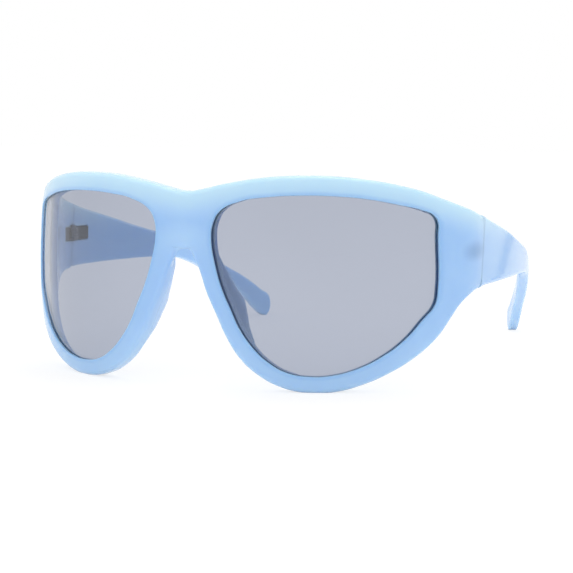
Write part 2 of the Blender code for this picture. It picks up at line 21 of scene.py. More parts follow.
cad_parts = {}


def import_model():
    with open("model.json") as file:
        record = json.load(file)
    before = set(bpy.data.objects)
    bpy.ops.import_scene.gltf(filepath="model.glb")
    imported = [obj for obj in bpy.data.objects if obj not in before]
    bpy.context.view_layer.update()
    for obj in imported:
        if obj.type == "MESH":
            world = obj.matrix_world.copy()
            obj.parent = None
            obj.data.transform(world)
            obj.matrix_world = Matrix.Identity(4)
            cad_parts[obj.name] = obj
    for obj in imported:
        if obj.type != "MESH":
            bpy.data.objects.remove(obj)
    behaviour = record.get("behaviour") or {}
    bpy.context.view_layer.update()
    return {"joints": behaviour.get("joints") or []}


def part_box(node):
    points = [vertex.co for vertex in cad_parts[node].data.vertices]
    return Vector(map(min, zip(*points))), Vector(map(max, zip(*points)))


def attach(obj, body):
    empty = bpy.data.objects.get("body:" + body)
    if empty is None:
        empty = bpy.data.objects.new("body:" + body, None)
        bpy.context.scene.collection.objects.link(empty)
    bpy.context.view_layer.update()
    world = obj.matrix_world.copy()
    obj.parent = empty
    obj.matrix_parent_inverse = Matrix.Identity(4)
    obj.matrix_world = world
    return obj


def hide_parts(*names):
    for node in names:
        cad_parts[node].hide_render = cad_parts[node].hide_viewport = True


LOG = logging.getLogger("sunglasses")
PHOTO_PIXELS = 573
WELD = 0.000002
TINY = 1e-18
JUST_SHORT = 0.000001
HANDLE_SPAN = 2.5614
BATCH = 2000
WALL_SHARES = (0.33, 0.67)
BEVEL_STEPS = 3
SMOOTH_ANGLE = math.radians(32)


class Side(Enum):
    """The wearer's left or right."""

    LEFT = 1
    RIGHT = -1

    @property
    def word(self) -> str:
        """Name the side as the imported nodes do."""
        return self.name.lower()


class Slot(Enum):
    """The record's material slots."""

    PLASTIC = "milky_blue_plastic"
    LENS = "grey_lens"
    STEEL = "hinge_steel"


class Edge(Enum):
    """What the front's outline is at a column."""

    REAL = 0
    SEAM = 1
    BRIDGE = 2


# Drawing


def smooth_loop(points: list, sharp: set, steps: int) -> np.ndarray:
    """Draw a closed smooth line through points.

    Args:
        points: the places that the line goes through, in order.
        sharp: the numbers of the places where it turns a sharp corner.
        steps: how many short pieces it has between two places.

    Returns:
        The line's points, so that place number n is point number n * steps.
    """
    place = np.array(points, float)
    before, after = np.roll(place, 1, 0), np.roll(place, -1, 0)
    back = np.linalg.norm(place - before, axis=1)[:, None]
    ahead = np.linalg.norm(after - place, axis=1)[:, None]
    lean = (after - place) / ahead + (place - before) / back
    span = np.linalg.norm(lean, axis=1)[:, None] * HANDLE_SPAN
    left, right = place - lean * back / span, place + lean * ahead / span
    for number in sharp:
        left[number] = place[number] + (before[number] - place[number]) / 3
        right[number] = place[number] + (after[number] - place[number]) / 3
    share = np.linspace(0, 1, steps, endpoint=False)[:, None]
    pieces = []
    for number in range(len(place)):
        follow = (number + 1) % len(place)
        pieces.append((1 - share) ** 3 * place[number]
                      + 3 * (1 - share) ** 2 * share * right[number]
                      + 3 * (1 - share) * share ** 2 * left[follow]
                      + share ** 3 * place[follow])
    return np.concatenate(pieces)


def distance_to(line: np.ndarray, places: np.ndarray) -> np.ndarray:
    """Measure how far places lie from a line of short straight pieces."""
    start, step = line[:-1], np.diff(line, axis=0)
    length = np.maximum((step ** 2).sum(1), TINY)
    flat = places.reshape(-1, 2)
    found = np.empty(len(flat))
    for first in range(0, len(flat), BATCH):
        part = flat[first:first + BATCH, None, :] - start[None]
        share = np.clip((part * step[None]).sum(2) / length[None], 0, 1)
        found[first:first + BATCH] = np.sqrt(
            ((part - share[..., None] * step[None]) ** 2).sum(2).min(1))
    return found.reshape(places.shape[:-1])


def outward(line: np.ndarray) -> np.ndarray:
    """Give the outward direction at each point of a closed line drawn clockwise."""
    along = np.roll(line, -1, 0) - np.roll(line, 1, 0)
    side = np.stack((-along[:, 1], along[:, 0]), 1)
    return side / np.linalg.norm(side, axis=1)[:, None]


def pick(line: np.ndarray, number: np.ndarray) -> np.ndarray:
    """Read a closed line at numbers that may fall between two of its points."""
    whole = np.floor(number).astype(int)
    part = (number - whole)[:, None]
    return line[whole % len(line)] * (1 - part) + line[(whole + 1) % len(line)] * part


def walk(line: np.ndarray, shares: np.ndarray) -> tuple:
    """Find point numbers and places at shares of an open line's length."""
    lengths = np.linalg.norm(np.diff(line, axis=0), axis=1)
    reach = np.concatenate(([0], np.cumsum(lengths)))
    numbers = np.interp(shares * reach[-1], reach, np.arange(len(line)))
    return numbers, pick(line, np.minimum(numbers, len(line) - 1 - JUST_SHORT))


def crossing(reach: np.ndarray, end: float) -> float:
    """Find the point number where a line first passes a distance."""
    first = np.argmax((reach > end) != (reach[0] > end))
    return first - (end - reach[first]) / (reach[first - 1] - reach[first])


def cut_off(line: np.ndarray, number: float) -> np.ndarray:
    """Give the part of an open line that starts at a point number."""
    return np.vstack((pick(line, np.array([number])), line[math.ceil(number):]))


def rounded(distance: np.ndarray, radius: float) -> np.ndarray:
    """Say how far a rounded edge falls back at distances from the outline."""
    inside = np.clip(radius - distance, 0, radius)
    return radius - np.sqrt(np.maximum(radius ** 2 - inside ** 2, 0))


def edge_steps(radius: float, count: int) -> np.ndarray:
    """Space rows so that they turn a rounded edge in equal angles, from the edge inwards."""
    return radius * (1 - np.cos(np.linspace(0, math.pi / 2, count)))


@dataclass(frozen=True)
class PlanLine:
    """The line that the sunglasses follow, seen from above."""

    bridge_half: float = 0.009
    wrap_radius: float = 0.0683
    corner_radius: float = 0.026
    corner_start: float = 0.0763
    end_splay: float = math.radians(2)
    seam: float = 0.0946
    temple_bend_start: float = 0.0565
    temple_front_turn: float = math.radians(11)
    temple_rear_turn: float = math.radians(19)
    temple_length: float = 0.1135
    bow_radius: float = 0.25
    bow_middle: float = 0.02735
    overrun: float = 0.004
    step: float = 0.0004

    def stretches(self) -> list[tuple[float, float]]:
        """List the line's stretches, each with its length and the angle that it turns."""
        wrap = (self.corner_start - self.bridge_half) / self.wrap_radius
        corner = math.pi / 2 - self.end_splay - wrap
        straight = self.seam - self.corner_start - self.corner_radius * corner
        return [
            (self.bridge_half, 0.0),
            (self.wrap_radius * wrap, wrap),
            (self.corner_radius * corner, corner),
            (straight, 0.0),
            (self.temple_bend_start, self.temple_front_turn),
            (self.temple_length - self.temple_bend_start, self.temple_rear_turn),
        ]

    def point(self, along: float) -> tuple[float, float, float]:
        """Find the X, the Y and the angle of the line at a distance from the bridge's middle."""
        x, y, angle, rest = 0.0, 0.0, 0.0, along
        stretches = self.stretches()
        for number, (length, turn) in enumerate(stretches):
            step = rest if number == len(stretches) - 1 else min(rest, length)
            swing = turn * step / length
            chord = step if swing == 0 else 2 * math.sin(swing / 2) * step / swing
            x += chord * math.cos(angle + swing / 2)
            y += chord * math.sin(angle + swing / 2)
            angle += swing
            rest -= step
            if rest <= 0:
                break
        return x, y, angle

    def guide(self, front_y: float) -> Object:
        """Draw the line, with its front at a Y, as a curve that the wrapping tree reads."""
        curve = bpy.data.curves.new("plan_line", "CURVE")
        curve.dimensions = "3D"
        spline = curve.splines.new("POLY")
        count = int((self.seam + self.temple_length + self.overrun) / self.step)
        spline.points.add(count)
        for number, point in enumerate(spline.points):
            x, y, _ = self.point(number * self.step)
            point.co = (x, y + front_y, 0, 1)
        return placed("plan_line", curve)


@dataclass(frozen=True)
class FlatDrawing:
    """The outlines of the sunglasses on the flat drawing."""

    lens_spacing: float = 0.017
    lens_width: float = 0.0645
    lens_height: float = 0.0484
    lens_bottom: float = 0.0045
    rim_width: float = 0.005
    end_length: float = 0.0216
    seam_height: float = 0.0201
    seam_bottom: float = 0.02652
    seam_slant: float = 0.115
    seam_gap: float = 0.00005
    temple_length: float = 0.1135
    floor_flat: float = 0.0002
    overrun: float = 0.004
    seam_slope: float = 0.25
    steps: int = 16
    # Places of the front's outline: both corners at the seam and the middle of the arch.
    turns: tuple = (14, 15, 36)
    # Lens places whose rim is part of the front's upper and lower outline.
    upper_rim: tuple = (3, 10)
    lower_rim: tuple = (15, 28)

    # One row for each point of the lens outline: shares of its width and height from the nose
    # side and the bottom, and the rim's breadth there as a share of the rim's width.
    lens_shares: tuple = (
        (0.000, 0.745, 1.00), (0.005, 0.835, 1.00), (0.035, 0.905, 1.00), (0.130, 0.965, 1.09),
        (0.250, 0.990, 1.05), (0.385, 1.000, 1.04), (0.530, 0.997, 1.04), (0.675, 0.980, 1.03),
        (0.815, 0.947, 1.05), (0.925, 0.915, 1.03), (0.980, 0.885, 1.00), (1.000, 0.845, 1.00),
        (0.998, 0.775, 1.00), (0.997, 0.470, 1.00), (0.985, 0.390, 1.00), (0.923, 0.303, 1.50),
        (0.840, 0.195, 1.28), (0.745, 0.110, 1.10), (0.640, 0.045, 0.99), (0.530, 0.007, 0.96),
        (0.430, 0.000, 0.94), (0.335, 0.020, 0.91), (0.250, 0.080, 0.97), (0.185, 0.160, 1.03),
        (0.130, 0.260, 0.98), (0.090, 0.370, 0.98), (0.050, 0.485, 1.01), (0.020, 0.610, 1.07),
    )
    brow_shares: tuple = ((None, 1.014), (-0.047, 1.031), (0.010, 1.049))
    arch_shares: tuple = ((-0.070, 0.607), (-0.087, 0.653), (-0.105, 0.685), (None, 0.692))
    end_top_shares: tuple = ((0.10, 1.265), (0.335, 1.190), (0.575, 1.120), (1.00, 1.000))
    end_bottom_shares: tuple = ((1.00, 0.000), (0.66, -0.060), (0.375, -0.210), (0.26, -0.335))
    temple_top_shares: tuple = (
        (0.000, 1.000), (0.065, 0.960), (0.155, 0.912), (0.245, 0.863), (0.330, 0.812),
        (0.415, 0.765), (0.500, 0.720), (0.575, 0.667), (0.650, 0.592), (0.730, 0.500),
        (0.815, 0.403), (0.885, 0.320), (0.955, 0.212), (0.992, 0.145),
    )
    temple_bottom_shares: tuple = (
        (0.978, 0.000), (0.966, 0.005), (0.950, 0.045), (0.922, 0.145), (0.895, 0.257),
        (0.868, 0.350), (0.793, 0.536), (0.715, 0.711), (0.635, 0.855), (0.557, 0.936),
        (0.440, 0.974), (0.308, 0.992), (0.106, 1.004), (0.000, 1.000),
    )
    # Numbers of the front's outline places, and the lens places that lie across the rim.
    across: tuple = ((0, 1.6), (1, 2.0), (2, 2.4), (3, 3.0), (9, 9.0), (10, 9.6), (11, 10.1),
                     (12, 10.5), (13, 10.9), (16, 13.7), (17, 14.0), (18, 14.4), (19, 14.7),
                     (20, 15.0), (32, 27.0), (33, 27.15), (34, 27.35), (35, 27.6), (36, 27.8))

    def facing(self, numbers: np.ndarray) -> np.ndarray:
        """Find the lens places that lie across the rim from points of the outline."""
        return np.interp(numbers / self.steps, *zip(*self.across))

    @property
    def temple_tip(self) -> int:
        """Give the number of the point at the temple's very tip."""
        return (len(self.temple_top_shares) + 1) * self.steps + self.steps // 2

    @property
    def seam(self) -> float:
        """Give the place of the seam between front and temple."""
        return self.lens_spacing / 2 + self.lens_width + self.end_length

    @property
    def seam_top(self) -> float:
        """Give the height of the seam's upper corner."""
        return self.seam_bottom + self.seam_height

    def upright(self, places: np.ndarray) -> np.ndarray:
        """Measure how far along places lie, as if the seam stood upright."""
        return places[:, 0] + self.seam_slant * (self.seam_top - places[:, 1])

    def lens_place(self, width_share: float, height_share: float) -> np.ndarray:
        """Turn shares of the lens into a place on the drawing."""
        return np.array((self.lens_spacing / 2 + self.lens_width * width_share,
                         self.lens_bottom + self.lens_height * height_share))

    def lens_points(self, rim_share: float = 0.0) -> np.ndarray:
        """List the lens outline's places, moved outwards by a share of the rim's breadth."""
        places = np.array([self.lens_place(a, b) for a, b, _ in self.lens_shares])
        breadth = np.array([row[2] for row in self.lens_shares])[:, None] * self.rim_width
        return places + outward(places) * breadth * rim_share

    def opening(self) -> np.ndarray:
        """Draw the edge of the lens opening as a smooth line."""
        return smooth_loop(list(self.lens_points()), set(), self.steps)

    def front_half(self) -> np.ndarray:
        """Draw the front's outline, of which the first 37 places are the left half."""
        rim = [tuple(p) for p in self.lens_points(1.0)]
        half = [self.middle_or_lens(*share) for share in self.brow_shares]
        half += rim[slice(*self.upper_rim)]
        half += [self.end_place(*share) for share in self.end_top_shares]
        drop = self.seam_slope * self.overrun
        half += [(self.seam + self.overrun, self.seam_top - drop),
                 (self.seam + self.overrun, self.seam_bottom + drop)]
        half += [self.end_place(*share) for share in self.end_bottom_shares]
        half += rim[slice(*self.lower_rim)]
        half += [self.middle_or_lens(*share) for share in self.arch_shares]
        mirror = [(-a, b) for a, b in reversed(half[1:-1])]
        corners = self.turns[:2]
        mates = (len(half) + len(mirror) - corner for corner in corners)
        return smooth_loop(half + mirror, {*corners, *mates}, self.steps)

    def middle_or_lens(self, width_share: float | None, height_share: float) -> tuple:
        """Place a point of the bridge; a missing width share is the middle plane."""
        along, height = self.lens_place(width_share or 0.0, height_share)
        return (0.0, height) if width_share is None else (along, height)

    def end_place(self, length_share: float, height_share: float) -> tuple:
        """Turn shares of the end piece into a place on the drawing."""
        return (self.lens_spacing / 2 + self.lens_width + self.end_length * length_share,
                self.seam_bottom + self.seam_height * height_share)

    def temple(self) -> np.ndarray:
        """Draw the temple's outline, from below the seam over the top and round the tip."""
        drop = self.seam_slope * self.overrun
        points = [(self.seam - self.overrun, self.seam_bottom - drop / 2),
                  (self.seam - self.overrun, self.seam_top + drop)]
        points += [(self.seam + self.temple_length * a, self.seam_top * b)
                   for a, b in self.temple_top_shares]
        points += [(self.seam + self.temple_length * a,
                    self.seam_bottom * b - self.floor_flat * (1 - b))
                   for a, b in self.temple_bottom_shares]
        return smooth_loop(points, {0, 1}, self.steps)


# Node trees


def placed(name: str, data: ID) -> Object:
    """Put a new object in the scene."""
    item = bpy.data.objects.new(name, data)
    bpy.context.scene.collection.objects.link(item)
    return item


def evaluated(piece: Object) -> Mesh:
    """Read the plain mesh that an object's modifiers make, and remove the object."""
    bpy.context.view_layer.update()
    graph = bpy.context.evaluated_depsgraph_get()
    mesh = bpy.data.meshes.new_from_object(
        piece.evaluated_get(graph), preserve_all_data_layers=True, depsgraph=graph)
    bpy.data.objects.remove(piece)
    return mesh


class Nodes:
    """Adds nodes to a tree and joins their sockets."""

    def __init__(self, tree: NodeTree) -> None:
        """Take the tree that the nodes go into."""
        self.tree = tree

    def feed(self, socket: NodeSocket, value: object) -> None:
        """Link an input to a socket, or give it a plain value."""
        if isinstance(value, NodeSocket):
            self.tree.links.new(value, socket)
        else:
            socket.default_value = value

    def node(self, kind: str, settings: dict | None = None, **links: object) -> Node:
        """Add a node.

        Args:
            kind: the node's type.
            settings: properties of the node.
            links: what each input reads, a socket or a value. Names use _ for a blank, and
                at0, at1 and so on are inputs by their number.

        Returns:
            The new node.
        """
        node = self.tree.nodes.new(kind)
        for name, value in (settings or {}).items():
            setattr(node, name, value)
        for name, value in links.items():
            key = int(name[2:]) if name.startswith("at") else name.replace("_", " ")
            self.feed(node.inputs[key], value)
        return node

    def work_out(self, kind: str, operation: str, values: tuple) -> NodeOutputs:
        """Add a node that calculates with its inputs and give its outputs."""
        links = {"at" + str(number): value for number, value in enumerate(values)}
        return self.node(kind, {"operation": operation}, **links).outputs

    def math(self, operation: str, *values: object) -> NodeSocket:
        """Add a Math node and give its result."""
        return self.work_out("ShaderNodeMath", operation, values)[0]

    def vector(self, operation: str, *values: object) -> NodeOutputs:
        """Add a Vector Math node and give its outputs."""
        return self.work_out("ShaderNodeVectorMath", operation, values)

    def split(self, vector: NodeSocket) -> NodeOutputs:
        """Split a vector into X, Y and Z."""
        return self.node("ShaderNodeSeparateXYZ", at0=vector).outputs

    def ranged(self, value: NodeSocket, low: object, high: object, start: float,
               end: float) -> NodeSocket:
        """Map a value smoothly from one range to another."""
        return self.node("ShaderNodeMapRange", {"interpolation_type": "SMOOTHSTEP"},
                         Value=value, From_Min=low, From_Max=high, To_Min=start,
                         To_Max=end).outputs[0]

    def blend(self, share: object, first: object, second: object) -> NodeSocket:
        """Mix two colours by a share."""
        return self.node("ShaderNodeMix", {"data_type": "RGBA"}, Factor=share, at6=first,
                         at7=second).outputs[2]


class Tree(Nodes):
    """A Geometry Nodes tree with named inputs."""

    def __init__(self, name: str, **inputs: str) -> None:
        """Start a tree with inputs of given kinds, named with _ for a blank."""
        super().__init__(bpy.data.node_groups.new(name, "GeometryNodeTree"))
        source = self.node("NodeGroupInput")
        self.keys = {label: self.tree.interface.new_socket(
            label.replace("_", " "), in_out="INPUT", socket_type="NodeSocket" + kind).identifier
            for label, kind in inputs.items()}
        self.inputs = [source.outputs[label.replace("_", " ")] for label in inputs]

    def finish(self, shape: NodeSocket, finish: NodeSocket) -> None:
        """End the tree in Realize Instances and Set Material."""
        real = self.node("GeometryNodeRealizeInstances", at0=shape)
        dressed = self.node("GeometryNodeSetMaterial", Geometry=real.outputs[0],
                            Material=finish)
        self.tree.interface.new_socket(
            "Geometry", in_out="OUTPUT", socket_type="NodeSocketGeometry")
        self.node("NodeGroupOutput", at0=dressed.outputs[0])

    def run(self, piece: Object, **values: object) -> Mesh:
        """Run the tree on an object, which is then removed, and read the mesh it makes."""
        step = piece.modifiers.new("tree", "NODES")
        step.node_group = self.tree
        for name, value in values.items():
            step[self.keys[name]] = value
        return evaluated(piece)


@dataclass
class Wrapper:
    """Bends flat pieces round the plan line."""

    line: PlanLine
    front_y: float

    def __post_init__(self) -> None:
        """Draw the plan line and build the tree."""
        self.guide = self.line.guide(self.front_y)
        self.tree = self.build()

    @staticmethod
    def build() -> Tree:
        """Build the tree that moves each point of a flat piece round the plan line."""
        tree = Tree("wrap_round_the_face", Geometry="Geometry", Plan_line="Object",
                    Bow_radius="Float", Bow_middle="Float", Bow_fades_from="Float",
                    Bow_fades_to="Float", Finish="Material")
        flat, guide, radius, middle, fade_from, fade_to, finish = tree.inputs
        place = tree.split(tree.node("GeometryNodeInputPosition").outputs[0])
        side, along = tree.math("SIGN", place[0]), tree.math("ABSOLUTE", place[0])
        line = tree.node("GeometryNodeObjectInfo", Object=guide)
        sample = tree.node("GeometryNodeSampleCurve",
                           {"mode": "LENGTH", "use_all_curves": True},
                           Curves=line.outputs["Geometry"], Length=along).outputs
        spot, run = tree.split(sample["Position"]), tree.split(sample["Tangent"])
        lift = tree.math("SUBTRACT", place[2], middle)
        bow = tree.math("DIVIDE", tree.math("MULTIPLY", lift, lift),
                        tree.math("MULTIPLY", radius, 2.0))
        fade = tree.ranged(along, fade_from, fade_to, 1.0, 0.0)
        depth = tree.math("MULTIPLY_ADD", bow, fade, place[1])
        across = tree.math("MULTIPLY_ADD", tree.math("MULTIPLY", run[1], -1.0), depth, spot[0])
        back = tree.math("MULTIPLY_ADD", run[0], depth, spot[1])
        wrapped = tree.node("ShaderNodeCombineXYZ", X=tree.math("MULTIPLY", across, side),
                            Y=back, Z=place[2])
        moved = tree.node("GeometryNodeSetPosition", Geometry=flat,
                          Position=wrapped.outputs[0])
        tree.finish(moved.outputs[0], finish)
        return tree

    def wrap(self, mesh: Mesh, finish: Material) -> Mesh:
        """Bend a flat piece round the plan line and give it its finish."""
        return self.tree.run(
            placed("flat", mesh), Plan_line=self.guide, Bow_radius=self.line.bow_radius,
            Bow_middle=self.line.bow_middle, Bow_fades_from=self.line.corner_start,
            Bow_fades_to=self.line.seam, Finish=finish)

    def remove_guide(self) -> None:
        """Take the plan line out of the scene."""
        bpy.data.objects.remove(self.guide)


# Finishes


@dataclass
class Finish(Nodes):
    """A procedural material, and the steps that the finishes share."""

    name: str

    def __post_init__(self) -> None:
        """Make the material and mix it."""
        self.material = bpy.data.materials.new(self.name)
        self.material.use_nodes = True
        super().__init__(self.material.node_tree)
        self.mix()

    def mix(self) -> None:
        """Mix the material; each finish does it in its own way."""
        raise NotImplementedError

    def place(self) -> NodeOutputs:
        """Split the Object coordinates into X, Y and Z."""
        return self.split(self.node("ShaderNodeTexCoord").outputs["Object"])

    def noise(self, scale: float, detail: float, stretch: tuple = (1, 1, 1)) -> NodeSocket:
        """Add noise with so many waves in a metre and finer layers, on Object coordinates."""
        place = self.node("ShaderNodeTexCoord").outputs["Object"]
        turned = self.node("ShaderNodeMapping", Vector=place, Scale=stretch)
        return self.node("ShaderNodeTexNoise", Vector=turned.outputs[0], Scale=scale,
                         Detail=detail).outputs["Fac"]

    def mark(self, name: str) -> NodeSocket:
        """Read a number that the mesh keeps for each point."""
        return self.node("ShaderNodeAttribute", {"attribute_name": name}).outputs["Fac"]

    def bump(self, strength: float, distance: float, height: NodeSocket) -> NodeSocket:
        """Give the surface fine bumps."""
        return self.node("ShaderNodeBump", Strength=strength, Distance=distance,
                         Height=height).outputs[0]

    def shade(self, **values: object) -> None:
        """Feed the shader's own inputs, with _ for a blank in a name."""
        shader = self.tree.nodes["Principled BSDF"]
        for name, value in values.items():
            self.feed(shader.inputs[name.replace("_", " ")], value)


@dataclass
class MilkyPlastic(Finish):
    """Polished milky blue plastic that lets light a little way in."""

    joint: Vector
    colour: tuple = (0.358, 0.574, 0.882, 1)
    cloud: tuple = (0.378, 0.594, 0.896, 1)
    # edge: painted light, paler plastic along the outline where light would shine through the
    # thin plastic
    edge: tuple = (0.416, 0.622, 0.900, 1)
    # lip: painted shade, darker plastic beside the lens opening where the groove's shadow falls
    lip: tuple = (0.310, 0.528, 0.872, 1)
    # brow: painted light, paler plastic along the top edges and the lower edges where lamps
    # would shine into the plastic
    brow: tuple = (0.562, 0.778, 0.988, 1)
    # steel_shade: colour of the painted shade over the hinge leaves and along the seam
    steel_shade: tuple = (0.12, 0.24, 0.48, 1)
    cloud_noise: tuple = (90, 3)
    cloud_range: tuple = (0.3, 0.7)
    edge_reach: float = 0.0014
    # Heights, reach and share of the painted light along the top edges and along the lower edges
    brow_light: tuple = ((0.034, 0.048), 0.0095, 1)
    foot_light: tuple = ((0.026, 0.006), 0.0090, 0.35)
    seam_way: Vector = Vector((math.cos(math.radians(88)), math.sin(math.radians(88)), -0.115))
    seam_half: float = 0.0008
    seam_core_share: float = 1 / 3
    seam_share: float = 0.25
    shade_place: Vector = Vector((0.0048, -0.0057, 0))
    shade_reach: tuple = (0.0060, 0.0085, 0.0038)
    shade_core: float = 0.1
    shade_share: float = 0.45
    polish_noise: tuple = (400, 2)
    polish_range: tuple = (0.2, 0.8)
    gloss: tuple = (0.096, 0.144)
    ripple_noise: tuple = (160, 2)
    ripple: tuple = (0.02, 0.0001)
    depth: float = 0.0010
    refraction: float = 1.49

    def near_edge(self, reach: float) -> NodeSocket:
        """Give a share that is 1 at an edge and falls to 0 within a reach."""
        return self.ranged(self.mark("rim_distance"), 0, reach, 1, 0)

    def edge_light(self, heights: tuple, reach: float, share: float) -> NodeSocket:
        """Give a share of painted light, at most at the edges, growing from the first height to
        the second.
        """
        high = self.ranged(self.place()["Z"], *heights, 0, share)
        return self.math("MULTIPLY", high, self.near_edge(reach))

    def from_joint(self, offset: Vector) -> NodeSocket:
        """Measure places from near the left joint, with the right half folded onto the left."""
        place = self.place()
        folded = self.node("ShaderNodeCombineXYZ", X=self.math("ABSOLUTE", place["X"]),
                           Y=place["Y"], Z=place["Z"])
        return self.vector("SUBTRACT", folded.outputs[0], self.joint + offset)[0]

    def steel_inside(self) -> NodeSocket:
        """Give a share of painted shade where a hinge leaf lies inside the plastic, its blurred
        shadow seen through the milky plastic.
        """
        scaled = self.vector("DIVIDE", self.from_joint(self.shade_place), self.shade_reach)[0]
        away = self.vector("LENGTH", scaled)["Value"]
        return self.ranged(away, self.shade_core, 1, self.shade_share, 0)

    def seam_line(self) -> NodeSocket:
        """Give a share for the thin shade along the seam between front and temple."""
        reach = self.vector("DOT_PRODUCT", self.from_joint(Vector()), self.seam_way)["Value"]
        return self.ranged(self.math("ABSOLUTE", reach), self.seam_half * self.seam_core_share,
                           self.seam_half, self.seam_share, 0)

    def mix(self) -> None:
        """Mix the plastic, with painted light along its edges, brow and foot, and painted shade
        along the seam, beside the lens opening and over the hinge leaves.
        """
        clouds = self.ranged(self.noise(*self.cloud_noise), *self.cloud_range, 0, 1)
        body = self.blend(clouds, self.colour, self.cloud)
        for share, colour in ((self.near_edge(self.edge_reach), self.edge),
                              (self.edge_light(*self.brow_light), self.brow),
                              (self.edge_light(*self.foot_light), self.brow),
                              (self.seam_line(), self.steel_shade),
                              (self.mark("lip_share"), self.lip),
                              (self.steel_inside(), self.steel_shade)):
            body = self.blend(share, body, colour)
        polish = self.ranged(self.noise(*self.polish_noise), *self.polish_range, *self.gloss)
        ripple = self.bump(*self.ripple, self.noise(*self.ripple_noise))
        self.shade(Base_Color=body, Roughness=polish, Normal=ripple, Subsurface_Weight=1.0,
                   Subsurface_Radius=(1.0, 1.0, 1.0), Subsurface_Scale=self.depth,
                   IOR=self.refraction)


@dataclass
class PadPlastic(MilkyPlastic):
    """The nose pads' plastic, a little bluer."""

    colour: tuple = (0.354, 0.572, 0.95, 1)
    cloud: tuple = (0.374, 0.592, 0.96, 1)
    # edge: painted light along the pads' edges, as on the frame's plastic
    edge: tuple = (0.410, 0.620, 0.965, 1)


@dataclass
class TintedLens(Finish):
    """Grey tinted lens, dark along its ground edge."""

    tint: tuple = (0.417, 0.447, 0.528, 1)
    slant_tint: tuple = (0.290, 0.320, 0.390, 1)
    edge: tuple = (0.32, 0.38, 0.50, 1)
    edge_range: tuple = (0.00012, 0.00024)
    haze_noise: tuple = (30, 1)
    haze_range: tuple = (0.3, 0.7)
    haze_lift: float = 1.015
    slant_blend: float = 0.5
    slant_range: tuple = (0.05, 0.8)
    wipe_noise: tuple = (60, 3)
    wipe_range: tuple = (0.3, 0.8)
    gloss: tuple = (0.01, 0.03)
    refraction: float = 1.5

    def mix(self) -> None:
        """Mix the glass, darker where it is seen at a slant."""
        near = self.ranged(self.mark("edge_distance"), *self.edge_range, 1, 0)
        haze = self.ranged(self.noise(*self.haze_noise), *self.haze_range, 0, 1)
        glass = self.blend(haze, self.tint, tuple(c * self.haze_lift for c in self.tint))
        facing = self.node("ShaderNodeLayerWeight", Blend=self.slant_blend).outputs["Facing"]
        slant = self.ranged(facing, *self.slant_range, 0, 1)
        glass = self.blend(slant, glass, self.slant_tint)
        wipe = self.ranged(self.noise(*self.wipe_noise), *self.wipe_range, *self.gloss)
        self.shade(Base_Color=self.blend(near, glass, self.edge), Roughness=wipe,
                   Transmission_Weight=1.0, IOR=self.refraction)


@dataclass
class HingeSteel(Finish):
    """Brushed grey steel, brighter at the knuckles near the screw."""

    joint: Vector
    colour: tuple = (0.045, 0.050, 0.060, 1)
    worn: tuple = (0.09, 0.10, 0.12, 1)
    rubbed: tuple = (0.20, 0.21, 0.24, 1)
    rubbed_reach: tuple = (0.0022, 0.0040)
    brush_noise: tuple = (900, 3, (1, 1, 0.1))
    brush_range: tuple = (0.2, 0.8)
    gloss: tuple = (0.28, 0.42)
    brush_bump: tuple = (0.15, 0.00004)

    def mix(self) -> None:
        """Mix the steel, brushed upwards."""
        brushed = self.noise(*self.brush_noise)
        away = self.math("ABSOLUTE", self.math("SUBTRACT", self.place()["Y"], self.joint.y))
        plates = self.ranged(away, *self.rubbed_reach, 0, 1)
        grey = self.blend(brushed, self.colour, self.worn)
        self.shade(Base_Color=self.blend(plates, self.rubbed, grey),
                   Roughness=self.ranged(brushed, *self.brush_range, *self.gloss),
                   Normal=self.bump(*self.brush_bump, brushed), Metallic=1.0)


# Pieces


def mesh_of(points: np.ndarray, faces: list, **marks: np.ndarray) -> Mesh:
    """Make a mesh whose doubled points are joined.

    Args:
        points: three numbers for each point.
        faces: the point numbers of each face.
        marks: a number for each point, kept as an attribute of that name.

    Returns:
        The mesh, with its faces pointing outwards.
    """
    mesh = bpy.data.meshes.new("shape")
    mesh.from_pydata(points.tolist(), [], faces)
    for name, values in marks.items():
        mesh.attributes.new(name, "FLOAT", "POINT").data.foreach_set(
            "value", values.astype(np.float32))
    shape = bmesh.new()
    shape.from_mesh(mesh)
    bmesh.ops.remove_doubles(shape, verts=shape.verts, dist=WELD)
    bmesh.ops.dissolve_degenerate(shape, edges=shape.edges, dist=WELD / 2)
    loose = [v for v in shape.verts if not v.link_faces]
    bmesh.ops.delete(shape, geom=loose, context="VERTS")
    bmesh.ops.recalc_face_normals(shape, faces=shape.faces)
    shape.to_mesh(mesh)
    shape.free()
    return mesh


def rows_of(spots: np.ndarray, depths: np.ndarray, *marks: np.ndarray) -> list:
    """List the rows of a flat piece's face, each with its places, depths and marks."""
    return [(spots[:, k], depths[:, k], *(mark[:, k] for mark in marks))
            for k in range(spots.shape[1])]


def stacked(rows: list) -> tuple:
    """Stack the rows of a flat piece into a grid.

    Args:
        rows: each row's places, depths and marks; a single number stands for a whole row.

    Returns:
        The grid's points, which lie on the table or above it, and one grid for each mark.
    """
    full = [[np.broadcast_to(part, len(places))
             for part in (places[:, 0], depths, places[:, 1], *marks)]
            for places, depths, *marks in rows]
    grid = np.array(full).transpose(2, 0, 1)
    grid[..., 2] = np.maximum(grid[..., 2], 0)
    return grid[..., :3], *np.moveaxis(grid[..., 3:], -1, 0)


def quads(total: int, count: int, closed: bool = True, ring: bool = True) -> list:
    """List the faces between the neighbouring columns of a grid.

    Args:
        total: how many columns the grid has.
        count: how many points each column has.
        closed: whether the last column joins the first.
        ring: whether a column's last point joins its first.

    Returns:
        The point numbers of each face.
    """
    return [(u * count + k, (u + 1) % total * count + k,
             (u + 1) % total * count + (k + 1) % count, u * count + (k + 1) % count)
            for u in range(total if closed else total - 1)
            for k in range(count if ring else count - 1)]


